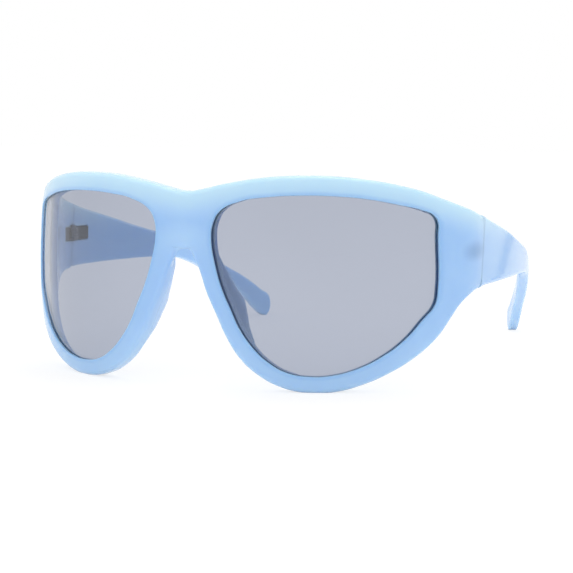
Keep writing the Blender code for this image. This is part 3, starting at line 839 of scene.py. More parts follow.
def for_side(mesh: Mesh, side: Side) -> Mesh:
    """Copy a left mesh for the side that it is wanted on."""
    copy = mesh.copy()
    if side is Side.RIGHT:
        copy.transform(Matrix.Scale(-1, 4, Vector((1, 0, 0))))
        copy.flip_normals()
    return copy


def place_piece(name: str, mesh: Mesh, body: str, nodes: list[str]) -> None:
    """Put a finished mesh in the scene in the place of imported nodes.

    Args:
        name: the piece's name.
        mesh: its finished mesh.
        body: the body that it rides on.
        nodes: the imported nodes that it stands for.
    """
    mesh.name = name
    mesh.shade_smooth()
    mesh.set_sharp_from_angle(angle=SMOOTH_ANGLE)
    piece = placed(name, mesh)
    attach(piece, body)
    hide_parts(*nodes)
    LOG.info("%s: %d faces, rides on %s", name, len(mesh.polygons), body)


def place_pairs(slot: Slot, *pieces: tuple) -> None:
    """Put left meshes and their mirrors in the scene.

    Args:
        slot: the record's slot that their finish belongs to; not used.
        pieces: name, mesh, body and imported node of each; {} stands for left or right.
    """
    for side in Side:
        for name, mesh, body, node in pieces:
            place_piece(name.format(side.word), for_side(mesh, side),
                        body.format(side.word), [node.format(side.word)])


def combined(mesh: Mesh, other: Mesh, operation: str = "DIFFERENCE") -> Mesh:
    """Cut one closed shape out of another, or join the two."""
    piece, tool = placed("piece", mesh), placed("tool", other)
    step = piece.modifiers.new("cut", "BOOLEAN")
    step.operation, step.object, step.solver = operation, tool, "EXACT"
    made = evaluated(piece)
    bpy.data.objects.remove(tool)
    return made


def from_bmesh(shape: bmesh.types.BMesh) -> Mesh:
    """Turn a mesh being edited into a mesh of its own."""
    mesh = bpy.data.meshes.new("shape")
    shape.to_mesh(mesh)
    shape.free()
    return mesh


def block(low: tuple, high: tuple, bevel: float = 0.0) -> Mesh:
    """Make a box between two corners, with bevelled edges if a bevel is given."""
    shape = bmesh.new()
    bmesh.ops.create_cube(shape, size=1)
    for vertex in shape.verts:
        share = vertex.co + Vector((0.5, 0.5, 0.5))
        vertex.co = [a + (b - a) * c for a, b, c in zip(low, high, share)]
    if bevel:
        bmesh.ops.bevel(shape, geom=shape.edges[:], offset=bevel, segments=BEVEL_STEPS,
                        profile=0.5, affect="EDGES")
    return from_bmesh(shape)


def turned(centre: Vector, profile: list, sides: int) -> Mesh:
    """Turn a profile of radii and heights, closed at both ends, round an upright line."""
    points = [(centre.x + r * math.cos(math.tau * number / sides),
               centre.y + r * math.sin(math.tau * number / sides), z)
              for number in range(sides) for r, z in profile]
    return mesh_of(np.array(points), quads(sides, len(profile), ring=False))


@dataclass
class Front:
    """The one-piece front: both rims, the bridge and the wrapped end pieces."""

    drawing: FlatDrawing
    wrapper: Wrapper
    thickness: float = 0.0051
    outer_round: float = 0.0013
    back_round: float = 0.0009
    lip_round: float = 0.0003
    crown: float = 0.0003
    crown_reach: float = 0.0045
    groove_top: float = 0.0007
    groove_bottom: float = 0.0029
    # How far the painted shade beside the lens opening reaches
    lip_reach: float = 0.0012
    groove_reach: float = 0.00115
    least_slant: float = 0.4
    corner_rows: int = 5
    lip_rows: int = 4
    edge_rows: int = 7
    face_rows: int = 12
    top_columns: int = 170
    seam_columns: int = 14
    lower_columns: int = 270
    bridge_columns: int = 14
    arch_flare: float = 0.0027
    flare_low_share: float = 0.56
    arch_half: float = 0.0068
    rear_bevel: float = 0.0020
    rear_bevel_way: tuple = (0.93, -0.36)
    rear_bevel_start: float = 0.1
    rear_bevel_ramp: float = 0.6

    def spread(self, top: float, bottom: float, count: int) -> np.ndarray:
        """Space columns down a line, closer together near its ends and without them."""
        near = edge_steps(self.outer_round, self.corner_rows)[:-1]
        middle = np.linspace(top - self.outer_round, bottom + self.outer_round, count)
        return np.concatenate((top - near, middle, bottom + near[::-1]))[1:-1]

    def columns(self) -> tuple:
        """Lay out the columns that run across the rim from the lens to the outline.

        Returns:
            Each column's outer place, its number on the opening line, whether the outline
            there is the real edge, the seam or the bridge's middle, and the outline's lines.
        """
        drawing = self.drawing
        line, end = drawing.front_half(), drawing.seam - drawing.seam_gap / 2
        corner, mate, last = (number * drawing.steps for number in drawing.turns)
        top, low = line[:corner + 1][::-1], line[mate:last + 1]
        top_cut, low_cut = (crossing(drawing.upright(part), end) for part in (top, low))
        top_line, low_line = cut_off(top, top_cut)[::-1], cut_off(low, low_cut)
        numbers, top_places = walk(top_line, np.linspace(0, 1, self.top_columns))
        top_across = drawing.facing(numbers)
        numbers, low_places = walk(low_line, np.linspace(0, 1, self.lower_columns))
        low_across = drawing.facing(mate + low_cut + numbers)
        seam_ends = low_line[0, 1], top_line[-1, 1]
        bridge_ends = low_line[-1, 1], top_line[0, 1]
        seam = self.spread(*seam_ends[::-1], self.seam_columns)
        bridge = self.spread(*bridge_ends[::-1], self.bridge_columns)[::-1]
        seam_across = np.interp(seam, seam_ends,
                                (drawing.facing(mate + low_cut), top_across[-1]))
        bridge_across = np.interp(bridge, bridge_ends,
                                  (low_across[-1], top_across[0] + len(drawing.lens_shares)))
        leaning = end - drawing.seam_slant * (drawing.seam_top - seam)
        parts = ((top_places, top_across, Edge.REAL),
                 (np.stack((leaning, seam), 1), seam_across, Edge.SEAM),
                 (low_places, low_across, Edge.REAL),
                 (np.stack((np.zeros(len(bridge)), bridge), 1), bridge_across, Edge.BRIDGE))
        places, across, kinds = (np.concatenate(column) for column in zip(*(
            (spots, numbers, np.full(len(spots), kind.value))
            for spots, numbers, kind in parts)))
        return places, across * drawing.steps, kinds, (top_line, low_line)

    def behind(self, places: np.ndarray, middle: np.ndarray, edges: tuple) -> np.ndarray:
        """Move outline places to where they lie behind, as the nose arch is wider there.

        Args:
            places: places of the outline in front.
            middle: True for the places down the middle of the bridge.
            edges: the upper and the lower line of the outline.

        Returns:
            The same places behind.
        """
        low = self.drawing.lens_place(0, self.flare_low_share)[1]
        brow, arch = edges[0][0, 1], edges[1][-1, 1]
        away = places - np.array((0, low))
        away /= np.maximum(np.linalg.norm(away, axis=1), WELD)[:, None]
        inside = (places[:, 0] < self.arch_half) & (places[:, 1] < arch + WELD) & ~middle
        reach = np.clip((places[:, 1] - low) / (arch - low), 0, 1) * inside * self.arch_flare
        moved = places + away * reach[:, None]
        squeeze = 1 - self.arch_flare / (brow - arch)
        moved[middle, 1] = brow - (brow - places[middle, 1]) * squeeze
        return moved

    def rear_opening(self) -> np.ndarray:
        """Draw the opening behind the lens, bevelled wider towards the temple."""
        opening = self.drawing.opening()
        away = outward(opening)
        facing = away @ np.array(self.rear_bevel_way) - self.rear_bevel_start
        facing = np.clip(facing / self.rear_bevel_ramp, 0, 1)
        share = facing * facing * (3 - 2 * facing)
        return opening + away * (share * self.rear_bevel)[:, None]

    def face(self, inner: tuple, outer: np.ndarray, edges: tuple, real: np.ndarray,
             edge_round: float) -> tuple:
        """Lay out one face of the front between the lens opening and the outline.

        Args:
            inner: the opening's line, and its place and outward direction at each column.
            outer: the outline's place at each column.
            edges: the upper and the lower line of the outline.
            real: True where the outline is a real edge.
            edge_round: the radius of the outline's edge.

        Returns:
            The face's spots, how far each falls back, and its two marks: the distance from
            the outline and the share of the painted shade beside the lens opening.
        """
        opening, start, lens_out = inner
        span = outer - start
        length = np.linalg.norm(span, axis=1)
        ahead = span / length[:, None]
        rim_slant, lip_slant = (
            (np.clip(np.abs((ahead * way).sum(1)), self.least_slant, 1) * length)[:, None]
            for way in (outward(outer), lens_out))
        lip = edge_steps(self.lip_round, self.lip_rows)[None] / lip_slant
        rim = 1 - edge_steps(edge_round, self.edge_rows)[None] / rim_slant
        body = lip[:, -1:] + (rim[:, -1:] - lip[:, -1:]) * np.linspace(
            0, 1, self.face_rows)[None]
        shares = np.hstack((lip[:, :-1], body, rim[:, ::-1][:, 1:]))
        spots = start[:, None] + span[:, None] * shares[..., None]
        to_edge = np.minimum(*(distance_to(edge, spots) for edge in edges))
        to_lens = distance_to(np.vstack((opening, opening[:1])), spots)
        to_lens[:, 0] = 0
        to_edge[real, -1] = 0
        fall = rounded(to_edge, edge_round) + rounded(to_lens, self.lip_round)
        # The second mark is painted shade, darker within a reach of the lens opening
        return spots, fall, to_edge, np.clip(1 - to_lens / self.lip_reach, 0, 1)

    def flat_mesh(self) -> Mesh:
        """Build the front on the flat drawing, both halves joined."""
        outer, numbers, kinds, edges = self.columns()
        opening, rear = self.drawing.opening(), self.rear_opening()
        inner, lens_out = pick(opening, numbers), pick(outward(opening), numbers)
        real = kinds == Edge.REAL.value
        back_outer = self.behind(outer, kinds == Edge.BRIDGE.value, edges)
        back_edges = (edges[0], self.behind(edges[1], np.zeros(len(edges[1]), bool), edges))
        spots, fall, *marks = self.face((opening, inner, lens_out), outer, edges, real,
                                        self.outer_round)
        back_spots, back_fall, *back_marks = self.face(
            (rear, pick(rear, numbers), lens_out), back_outer, back_edges, real,
            self.back_round)
        depth = fall + np.clip(1 - marks[0] / self.crown_reach, 0, 1) ** 2 * self.crown
        back_depth = self.thickness - back_fall
        wall = [(outer * (1 - s) + back_outer * s,
                 depth[:, -1] * (1 - s) + back_depth[:, -1] * s, 0, 0) for s in WALL_SHARES]
        groove = inner + lens_out * self.groove_reach
        start = [(inner, self.groove_top, 0, 0), *rows_of(spots, depth, *marks)]
        rows = [*start, *wall, *rows_of(back_spots, back_depth, *back_marks)[::-1],
                (inner, self.groove_bottom, 0, 0), (groove, self.groove_bottom, 0, 0),
                (groove, self.groove_top, 0, 0)]
        points, rim_mark, lip_shade_mark = stacked(rows)
        flat, total, count = points.reshape(-1, 3), len(outer), len(rows)
        bridge = kinds == Edge.BRIDGE.value
        bridge |= np.roll(bridge, -1)
        wall_rows = range(len(start) - 1, len(start) + len(wall))
        half = [face for number, face in enumerate(quads(total, count))
                if not (bridge[number // count] and number % count in wall_rows)]
        other = [tuple(len(flat) + n for n in reversed(face)) for face in half]
        return mesh_of(np.vstack((flat, flat * np.array((-1, 1, 1)))), half + other,
                       rim_distance=np.tile(rim_mark.ravel(), 2),
                       lip_share=np.tile(lip_shade_mark.ravel(), 2))

    def dress(self, finish: Material, pockets: Mesh) -> None:
        """Wrap the front round the face, cut the hinge pockets and place it."""
        mesh = self.wrapper.wrap(self.flat_mesh(), finish)
        for side in Side:
            mesh = combined(mesh, for_side(pockets, side))
        place_piece("front_shell", mesh, "front", ["front"])


@dataclass
class Lens:
    """One tinted lens, which sits in the rim's groove."""

    drawing: FlatDrawing
    wrapper: Wrapper
    setback: float = 0.0008
    thickness: float = 0.002
    lap: float = 0.0009
    bevel: float = 0.00015
    edge_rings: tuple = (0.0018, 0.001, 0.0006, 0.0003, 0)
    rings: int = 30
    columns: int = 260

    def flat_mesh(self) -> Mesh:
        """Build the lens on the flat drawing, ring by ring from its middle."""
        opening = self.drawing.opening()
        closed = np.vstack((opening, opening[:1]))
        numbers = walk(closed, np.linspace(0, 1, self.columns + 1))[0][:-1]
        outline = pick(opening, numbers) + pick(outward(opening), numbers) * self.lap
        middle = outline.mean(0)
        near = self.lap + np.array(self.edge_rings)
        reach = np.linalg.norm(outline - middle, axis=1)[:, None]
        shares = np.hstack((
            np.linspace(0, 1, self.rings)[None, 1:] * (1 - near[0] / reach),
            1 - near[None, 1:] / reach, 1 - np.array((self.bevel * 2, self.bevel)) / reach))
        spots = middle + (outline - middle)[:, None] * shares[..., None]
        inside = distance_to(closed, spots)
        inside[:, -3:] = 0
        front, back = (rows_of(spots, np.full(inside.shape, depth), inside)
                       for depth in (self.setback, self.setback + self.thickness))
        points, marks = stacked([
            *front, (outline, self.setback + self.bevel, inside[:, -1]),
            (outline, self.setback + self.thickness - self.bevel, inside[:, -1]),
            *back[::-1]])
        count = points.shape[1]
        pole, mate = self.columns * count, self.columns * count + 1
        faces = quads(self.columns, count, ring=False)
        for start in range(0, pole, count):
            follow = (start + count) % pole
            faces += [(pole, follow, start), (mate, start + count - 1, follow + count - 1)]
        flat = np.vstack((points.reshape(-1, 3), (
            (middle[0], self.setback, middle[1]),
            (middle[0], self.setback + self.thickness, middle[1]))))
        return mesh_of(flat, faces, edge_distance=np.append(marks.ravel(), (1, 1)))

    def dress(self, finish: Material) -> None:
        """Wrap the lens round the face and place one on each side."""
        mesh = self.wrapper.wrap(self.flat_mesh(), finish)
        place_pairs(Slot.LENS, ("{}_tinted_lens", mesh, "front", "{}_lens"))


@dataclass
class Temple:
    """One plastic arm, deep at the seam and slim at its tip."""

    drawing: FlatDrawing
    wrapper: Wrapper
    thickness: float = 0.0051
    tip_thickness: float = 0.0032
    edge_round: float = 0.0012
    slim_half: float = 0.00144
    edge_rows: int = 7
    face_rows: int = 9
    columns: int = 190
    tip_share: float = 0.035
    tip_columns: int = 16
    # A cut lies at this point or before it, so the upper corner laps 0.6 mm over the seam.
    last_cut: int = 14

    def flat_mesh(self) -> Mesh:
        """Build the arm on the flat drawing, section by section from the seam to the tip."""
        drawing = self.drawing
        line, tip = drawing.temple(), drawing.temple_tip
        start = drawing.seam + drawing.seam_gap / 2
        top, low = (
            cut_off(part, min(crossing(drawing.upright(part), start), self.last_cut))
            for part in (line[drawing.steps:tip + 1],
                         np.vstack((line[tip:], line[:1]))[::-1]))
        turn = np.sin(np.linspace(0, math.pi / 2, self.tip_columns)[1:])
        shares = np.concatenate((np.linspace(0, 1 - self.tip_share, self.columns),
                                 1 - self.tip_share * (1 - turn)))
        upper, lower = walk(top, shares)[1], walk(low, shares)[1]
        upper[-1] = lower[-1] = (top[-1] + low[-1]) / 2
        half = np.linalg.norm(upper - lower, axis=1)[:, None] / 2
        rim = np.clip(1 - edge_steps(self.edge_round, self.edge_rows)[None]
                      / np.maximum(half, TINY), 0, 1)
        rim = np.where(half > self.slim_half, rim,
                       1 - np.linspace(0, 1, self.edge_rows)[None] ** 2)
        body = rim[:, -1:] * np.linspace(0, 1, self.face_rows)[None]
        part = np.hstack((body, rim[:, ::-1][:, 1:]))
        signed = np.hstack((-part[:, ::-1], part[:, 1:]))
        spots = (((upper + lower) / 2)[:, None]
                 + ((upper - lower) / 2)[:, None] * signed[..., None])
        away = np.minimum(distance_to(top, spots), distance_to(low, spots))
        away[:, 0] = away[:, -1] = 0
        away[-1] = 0
        fall = rounded(away, self.edge_round)
        wall = [self.edge_round + (self.thickness - 2 * self.edge_round) * share
                for share in WALL_SHARES]
        points, marks = stacked([
            *rows_of(spots, fall, away),
            *((spots[:, -1], depth, away[:, -1]) for depth in wall),
            *rows_of(spots, self.thickness - fall, away)[::-1],
            *((spots[:, 0], depth, away[:, 0]) for depth in wall[::-1])])
        run = np.clip((points[..., 0] - drawing.seam) / drawing.temple_length, 0, 1)
        points[..., 1] *= 1 + run * (self.tip_thickness / self.thickness - 1)
        faces = quads(len(shares), points.shape[1], closed=False)
        faces += self.seam_cap(spots.shape[1], points.shape[1])
        return mesh_of(points.reshape(-1, 3), faces, rim_distance=marks.ravel())

    def seam_cap(self, width: int, count: int) -> list:
        """List the faces that close the first section, from a side's points and all points."""
        last, wall = count - len(WALL_SHARES) - 1, tuple(range(width, width + len(WALL_SHARES)))
        faces = [(k, k + 1, last - k - 1, last - k) for k in range(width - 1)]
        faces[0] += tuple(range(last + 1, count))
        faces[-1] = faces[-1][:2] + wall + faces[-1][2:]
        return faces

    def dress(self, finish: Material, pockets: Mesh) -> None:
        """Wrap the arm round the head, cut its hinge pocket and place one on each side."""
        mesh = combined(self.wrapper.wrap(self.flat_mesh(), finish), pockets)
        place_pairs(Slot.PLASTIC, ("{}_temple_arm", mesh, "{}_temple", "{}_temple"))


@dataclass
class NosePad:
    """One nose pad: a long soft dome that grows out of the rim beside the nose."""

    drawing: FlatDrawing
    wrapper: Wrapper
    base_depth: float = 0.0051
    depth: float = 0.0083
    sunk: float = 0.0004
    width_share: float = 0.84
    flare_share: float = 0.2
    start_share: float = 0.08
    stop_share: float = 0.95
    crest_share: float = 0.54
    climb_power: float = 1.3
    fall_power: float = 0.9
    end_power: float = 4.0
    ridge_power: float = 0.45
    line_rows: tuple = (22, 23, 24, 25, 26, 27, 0)
    rings: int = 72
    sides: int = 56

    def line(self, share: float) -> tuple:
        """Find the middle of the rim beside the nose, and the way to its outer edge."""
        middle, outer = (self.drawing.lens_points(rim_share)[list(self.line_rows)]
                         for rim_share in (0.5, 1.0))
        reach = self.start_share + (self.stop_share - self.start_share) * min(max(share, 0), 1)
        place = reach * (len(middle) - 1)
        number = min(int(place), len(middle) - 2)
        part = place - number
        centre, edge = (points[number] * (1 - part) + points[number + 1] * part
                        for points in (middle, outer))
        return centre, edge - centre

    def depth_at(self, share: float) -> float:
        """Give the pad's depth at a share of its length: it climbs to its crest, then falls."""
        climb = 1 - (1 - min(share / self.crest_share, 1)) ** self.climb_power
        fall = min((1 - share) / (1 - self.crest_share), 1) ** self.fall_power
        return self.depth * climb * fall

    def flat_mesh(self) -> Mesh:
        """Build the pad on the flat drawing."""
        points, rows = [], self.sides // 2 + 3
        for number in range(self.rings + 1):
            along = math.cos(math.pi * number / self.rings)
            share = (along + 1) / 2
            centre, half = self.line(share)
            breadth = (1 - abs(along) ** self.end_power) ** (1 / self.end_power)
            for step in range(rows):
                angle = math.pi * min(max(step - 1, 0), rows - 3) / (rows - 3)
                across, rise = math.cos(angle), max(math.sin(angle), 0)
                depth = self.depth_at(share) * rise ** self.ridge_power
                place = centre + half * across * breadth * self.width_share
                sunk = self.sunk if step in (0, rows - 1) else 0
                points.append((place[0] + self.flare_share * depth,
                               self.base_depth + depth - sunk, place[1]))
        return mesh_of(np.array(points), quads(self.rings + 1, rows, closed=False))

    def dress(self, finish: Material) -> None:
        """Wrap the pad round the face and place one on each side."""
        mesh = self.wrapper.wrap(self.flat_mesh(), finish)
        place_pairs(Slot.PLASTIC, ("{}_pad_dome", mesh, "front", "{}_nose_pad"))


@dataclass
class Hinge:
    """One hinge: a leaf in the front, a leaf in the temple, knuckles and a screw."""

    axis: Vector
    height: float = 0.004
    inset: float = 0.0003
    knuckle_radius: float = 0.0014
    knuckle_gap: float = 0.00014
    knuckles: int = 5
    leaf_thickness: float = 0.0012
    front_leaf_length: float = 0.0027
    temple_leaf_length: float = 0.0075
    anchor_length: float = 0.0014
    anchor_depth: float = 0.002
    anchor_height: float = 0.0026
    anchor_place: float = 0.7
    web_reach: float = 0.72
    web_thickness: float = 0.75
    screw_radius: float = 0.0006
    running_fit: float = 0.00008
    head_radius: float = 0.001
    head_height: float = 0.0005
    slot_length: float = 1.3
    slot_width: float = 0.0003
    slot_depth: float = 0.00025
    pocket_reach: float = 0.0042
    clearance: float = 0.0003
    soft_edge: float = 0.00012
    corner_points: int = 3
    sides: int = 48

    @property
    def low(self) -> float:
        """Give the height of the knuckles' lower end."""
        return self.axis.z - self.height / 2

    @property
    def high(self) -> float:
        """Give the height of the knuckles' upper end."""
        return self.axis.z + self.height / 2

    @property
    def near(self) -> float:
        """Give how far from the screw's middle each leaf starts."""
        return self.knuckle_radius + self.clearance

    @property
    def pitch(self) -> float:
        """Give the height from one knuckle to the next."""
        return (self.height + self.knuckle_gap) / self.knuckles

    def length(self, direction: int) -> float:
        """Give the length of the front's leaf, at -1, or of the temple's, at 1."""
        return self.front_leaf_length if direction < 0 else self.temple_leaf_length

    def slab(self, direction: int, inward: tuple, along: tuple, heights: tuple,
             bevel: float = 0.0) -> Mesh:
        """Make a box of the hinge.

        Args:
            direction: -1 for the front's side of the hinge and 1 for the temple's.
            inward: where it starts and ends across the leaf, from the leaf's near face.
            along: where it starts and ends away from the screw.
            heights: where it starts and ends above the hinge's middle.
            bevel: how wide its edges are bevelled.

        Returns:
            The box.
        """
        ends = sorted(self.axis.y + direction * place for place in along)
        corners = [(self.axis.x + self.inset + x, y, self.axis.z + z)
                   for x, y, z in zip(inward, ends, heights)]
        return block(*corners, bevel)

    def anchor(self, direction: int, start: float, gap: float, bevel: float = 0.0) -> Mesh:
        """Make the block that holds a leaf in the plastic, wider on all sides by a gap."""
        middle = self.near + self.length(direction) * self.anchor_place
        half, tall = self.anchor_length / 2 + gap, self.anchor_height / 2 + gap
        return self.slab(direction, (start, self.leaf_thickness + self.anchor_depth + gap),
                         (middle - half, middle + half), (-tall, tall), bevel)

    def knuckle_tree(self) -> Tree:
        """Build the tree that stacks ring-shaped knuckles up the screw."""
        tree = Tree("hinge_knuckles", Knuckles="Int", Pitch="Float", Wall="Float",
                    Knuckle_height="Float", Ring_radius="Float", Soft_edge="Float",
                    Finish="Material")
        count, pitch, wall, tall, ring, edge, finish = tree.inputs
        path = tree.node("GeometryNodeCurvePrimitiveCircle", {"mode": "RADIUS"},
                         Resolution=self.sides, Radius=ring)
        shape = tree.node("GeometryNodeCurvePrimitiveQuadrilateral", {"mode": "RECTANGLE"},
                          Width=wall, Height=tall)
        soft = tree.node("GeometryNodeFilletCurve", {"mode": "POLY"}, Curve=shape.outputs[0],
                         Radius=edge, Count=self.corner_points)
        knuckle = tree.node("GeometryNodeCurveToMesh", Curve=path.outputs[0],
                            Profile_Curve=soft.outputs[0])
        offset = tree.node("ShaderNodeCombineXYZ", Z=pitch)
        line = tree.node("GeometryNodeMeshLine", {"mode": "OFFSET"}, Count=count,
                         Offset=offset.outputs[0])
        stack = tree.node("GeometryNodeInstanceOnPoints", Points=line.outputs[0],
                          Instance=knuckle.outputs[0])
        tree.finish(stack.outputs[0], finish)
        return tree

    def knuckle_stack(self, tree: Tree, numbers: range, finish: Material) -> Mesh:
        """Make every second knuckle of the hinge, in its place."""
        tall = self.pitch - self.knuckle_gap
        bore = self.screw_radius + self.running_fit
        mesh = tree.run(placed("knuckles", bpy.data.meshes.new("knuckles")),
                        Knuckles=len(numbers), Pitch=numbers.step * self.pitch,
                        Wall=self.knuckle_radius - bore, Knuckle_height=tall,
                        Ring_radius=(self.knuckle_radius + bore) / 2,
                        Soft_edge=self.soft_edge, Finish=finish)
        lift = self.low + numbers.start * self.pitch + tall / 2
        mesh.transform(Matrix.Translation((self.axis.x, self.axis.y, lift)))
        return mesh

    def leaf(self, direction: int, tree: Tree, finish: Material) -> Mesh:
        """Make one leaf with its anchor, webs and knuckles.

        Args:
            direction: -1 for the front's leaf and 1 for the temple's.
            tree: the knuckle tree.
            finish: the leaf's material.

        Returns:
            The leaf in its place.
        """
        numbers = range(1 if direction < 0 else 0, self.knuckles, 2)
        length, thick, tall = self.length(direction), self.leaf_thickness, self.height / 2
        shape = self.slab(direction, (0, thick), (self.near, self.near + length),
                          (-tall, tall), self.soft_edge)
        anchor = self.anchor(direction, thick / 2, 0, self.soft_edge)
        shape = combined(shape, anchor, "UNION")
        for number in numbers:
            bottom = number * self.pitch - tall
            web = self.slab(direction, (self.soft_edge, thick * self.web_thickness),
                            (self.knuckle_radius * self.web_reach, self.near + length / 2),
                            (bottom, bottom + self.pitch - self.knuckle_gap))
            shape = combined(shape, web, "UNION")
        whole = bmesh.new()
        for part in (shape, self.knuckle_stack(tree, numbers, finish)):
            whole.from_mesh(part)
        bmesh.ops.recalc_face_normals(whole, faces=whole.faces)
        for face in whole.faces:
            face.material_index = 0
        mesh = from_bmesh(whole)
        mesh.materials.append(finish)
        return mesh

    def screw(self, finish: Material) -> Mesh:
        """Turn the screw and cut the slot in its head."""
        seat = self.high + self.knuckle_gap
        top = seat + self.head_height
        shaft, head, edge = self.screw_radius, self.head_radius, self.soft_edge
        shape = turned(self.axis, [
            (0, self.low), (shaft - edge, self.low), (shaft, self.low + edge), (shaft, seat),
            (head - edge / 2, seat), (head, seat + edge / 2), (head, top - edge),
            (head - edge / 2, top - edge / 3), (head - edge, top), (0, top)], self.sides)
        reach = Vector((head * self.slot_length, self.slot_width / 2, self.slot_depth))
        middle = Vector((self.axis.x, self.axis.y, top))
        mesh = combined(shape, block(middle - reach, middle + reach))
        mesh.materials.clear()
        mesh.materials.append(finish)
        return mesh

    def pockets(self, direction: int) -> Mesh:
        """Shape what is cut out of the plastic for the knuckles, one leaf and its anchor."""
        gap, tall = self.clearance, self.height / 2 + self.clearance
        head = self.high + self.head_height + self.knuckle_gap + gap
        bottom = self.low - gap
        shape = turned(self.axis, [(0, bottom), (self.near, bottom), (self.near, head),
                                   (0, head)], self.sides)
        leaf = self.slab(direction, (-self.pocket_reach, self.leaf_thickness + gap),
                         (0, self.near + self.length(direction) + gap), (-tall, tall))
        return combined(combined(shape, leaf, "UNION"), self.anchor(direction, 0, gap), "UNION")

    def dress(self, finish: Material) -> None:
        """Make and place the leaves and screws of both hinges."""
        tree = self.knuckle_tree()
        front_leaf, temple_leaf = (self.leaf(way, tree, finish) for way in (-1, 1))
        place_pairs(Slot.STEEL,
                    ("{}_front_leaf", front_leaf, "front", "{}_hinge_front_leaf"),
                    ("{}_slotted_screw", self.screw(finish), "front", "{}_hinge_screw"),
                    ("{}_temple_leaf", temple_leaf, "{}_temple", "{}_hinge_temple_leaf"))


# Studio


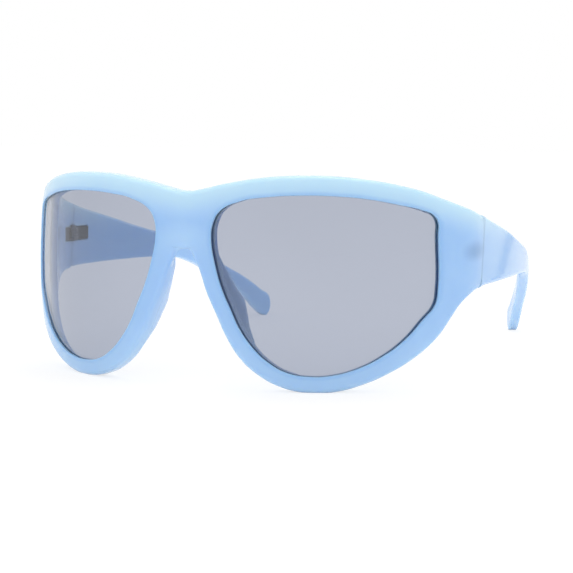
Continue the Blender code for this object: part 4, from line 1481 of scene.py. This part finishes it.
@dataclass
class Studio:
    """The table, the soft light and the camera."""

    front_y: float
    table_half: float = 4.0
    table_cells: int = 8
    table_colour: tuple = (0.93, 0.94, 0.95, 1)
    table_seen: tuple = (0.31, 0.313, 0.320, 1)
    table_glow: float = 0.72
    world_strength: float = 1.0
    top_power: float = 1.0
    top_size: float = 0.5
    top_place: tuple = (0.0, 0.1, 0.75)
    card_corners: tuple = ((0.1156, 0.1188, 0), (0.1226, 0.1107, 0),
                           (0.0875, 0.1514, 0.045), (0.0731, 0.1681, 0.045))
    card_colour: tuple = (0.45, 0.53, 0.75, 1)
    yaw: float = math.radians(24.43)
    pitch: float = math.radians(6.65)
    tilt: float = math.radians(0.6)
    distance: float = 0.429871
    sensor: float = 36.0
    focal_pixels: float = 1480.761
    near_limit: float = 0.01
    aside: float = 0.015575
    down: float = 0.002469
    aim: tuple = (0.0, 0.0313, 0.02705)
    pivot_y: float = 0.008

    def camera(self) -> None:
        """Stand the camera where the photograph was taken from."""
        right = Vector((math.cos(self.yaw), math.sin(self.yaw), 0))
        back = Vector((math.sin(self.yaw) * math.cos(self.pitch),
                       -math.cos(self.yaw) * math.cos(self.pitch), math.sin(self.pitch)))
        up = back.cross(right)
        place = (Vector(self.aim) + Vector((0, self.front_y, 0)) + right * self.aside
                 - up * self.down + back * self.distance)
        turn = Matrix.Rotation(self.tilt, 3, "X")
        pivot = Vector((0, self.pivot_y + self.front_y, 0))
        data = bpy.data.cameras.new("photo_camera")
        data.sensor_width = self.sensor
        data.lens = self.focal_pixels * data.sensor_width / PHOTO_PIXELS
        data.clip_start = self.near_limit
        camera = placed("photo_camera", data)
        matrix = Matrix((turn @ right, turn @ up, turn @ back)).transposed().to_4x4()
        matrix.translation = turn @ (place - pivot) + pivot
        camera.matrix_world = matrix
        bpy.context.scene.camera = camera

    def table(self) -> None:
        """Lay the white table, which keeps only the faint shadow under the rims."""
        shape = bmesh.new()
        bmesh.ops.create_grid(shape, x_segments=self.table_cells, y_segments=self.table_cells,
                              size=self.table_half)
        table = placed("white_table", from_bmesh(shape))
        material = bpy.data.materials.new("white_table")
        material.use_nodes = True
        material.node_tree.nodes.clear()
        nodes = Nodes(material.node_tree)
        light = nodes.node("ShaderNodeLightPath").outputs
        through = nodes.math("MAXIMUM", light["Is Glossy Ray"], light["Is Transmission Ray"])
        seen = nodes.math("MAXIMUM", light["Is Camera Ray"], through)
        paper = nodes.node("ShaderNodeBsdfDiffuse",
                           Color=nodes.blend(seen, self.table_colour, self.table_seen))
        glow = nodes.node("ShaderNodeEmission", Color=(1, 1, 1, 1),
                          Strength=nodes.math("MULTIPLY", seen, self.table_glow))
        both = nodes.node("ShaderNodeAddShader", at0=paper.outputs[0], at1=glow.outputs[0])
        nodes.node("ShaderNodeOutputMaterial", Surface=both.outputs[0])
        table.data.materials.append(material)

    def world(self) -> None:
        """Surround everything with even white light."""
        world = bpy.data.worlds.new("white_room")
        world.use_nodes = True
        sky = world.node_tree.nodes["Background"]
        sky.inputs["Color"].default_value = (1, 1, 1, 1)
        sky.inputs["Strength"].default_value = self.world_strength
        bpy.context.scene.world = world

    def lamp(self) -> None:
        """Hang one large soft lamp, which faces the middle of the table."""
        data = bpy.data.lights.new("overhead_softbox", "AREA")
        data.shape = "DISK"
        data.size = self.top_size
        data.energy = self.top_power
        lamp = placed("overhead_softbox", data)
        lamp.location = self.top_place
        lamp.rotation_euler = Vector(self.top_place).to_track_quat("Z", "Y").to_euler()

    def blue_card(self) -> None:
        """Stand a narrow blue card that shows only as a reflection in the near temple."""
        mesh = bpy.data.meshes.new("blue_card")
        mesh.from_pydata(self.card_corners, [], [(0, 1, 2, 3)])
        card = placed("blue_card", mesh)
        material = bpy.data.materials.new("blue_card")
        material.use_nodes = True
        shader = material.node_tree.nodes["Principled BSDF"]
        shader.inputs["Base Color"].default_value = self.card_colour
        shader.inputs["Roughness"].default_value = 1.0
        mesh.materials.append(material)
        card.visible_camera = card.visible_diffuse = card.visible_shadow = False
        card.visible_transmission = card.visible_volume_scatter = False

    def set_up(self) -> None:
        """Build the whole studio."""
        bpy.context.scene.view_settings.view_transform = "Standard"
        self.camera()
        self.table()
        self.world()
        self.lamp()
        self.blue_card()


def main() -> None:
    """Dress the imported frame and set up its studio."""
    logging.basicConfig(level=logging.INFO, format="%(name)s: %(message)s")
    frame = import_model()
    front_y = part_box("front")[0].y
    joint = Vector(frame["joints"][0]["pos_m"])

    drawing = FlatDrawing()
    wrapper = Wrapper(PlanLine(), front_y)
    plastic = MilkyPlastic("milky_blue_plastic", joint).material
    pads = PadPlastic("nose_pad_plastic", joint).material
    glass = TintedLens("grey_lens").material
    steel = HingeSteel("hinge_steel", joint).material
    hinge = Hinge(joint)

    Front(drawing, wrapper).dress(plastic, hinge.pockets(-1))
    Lens(drawing, wrapper).dress(glass)
    Temple(drawing, wrapper).dress(plastic, hinge.pockets(1))
    NosePad(drawing, wrapper).dress(pads)
    hinge.dress(steel)
    wrapper.remove_guide()
    Studio(front_y).set_up()


if __name__ == "__main__":
    main()
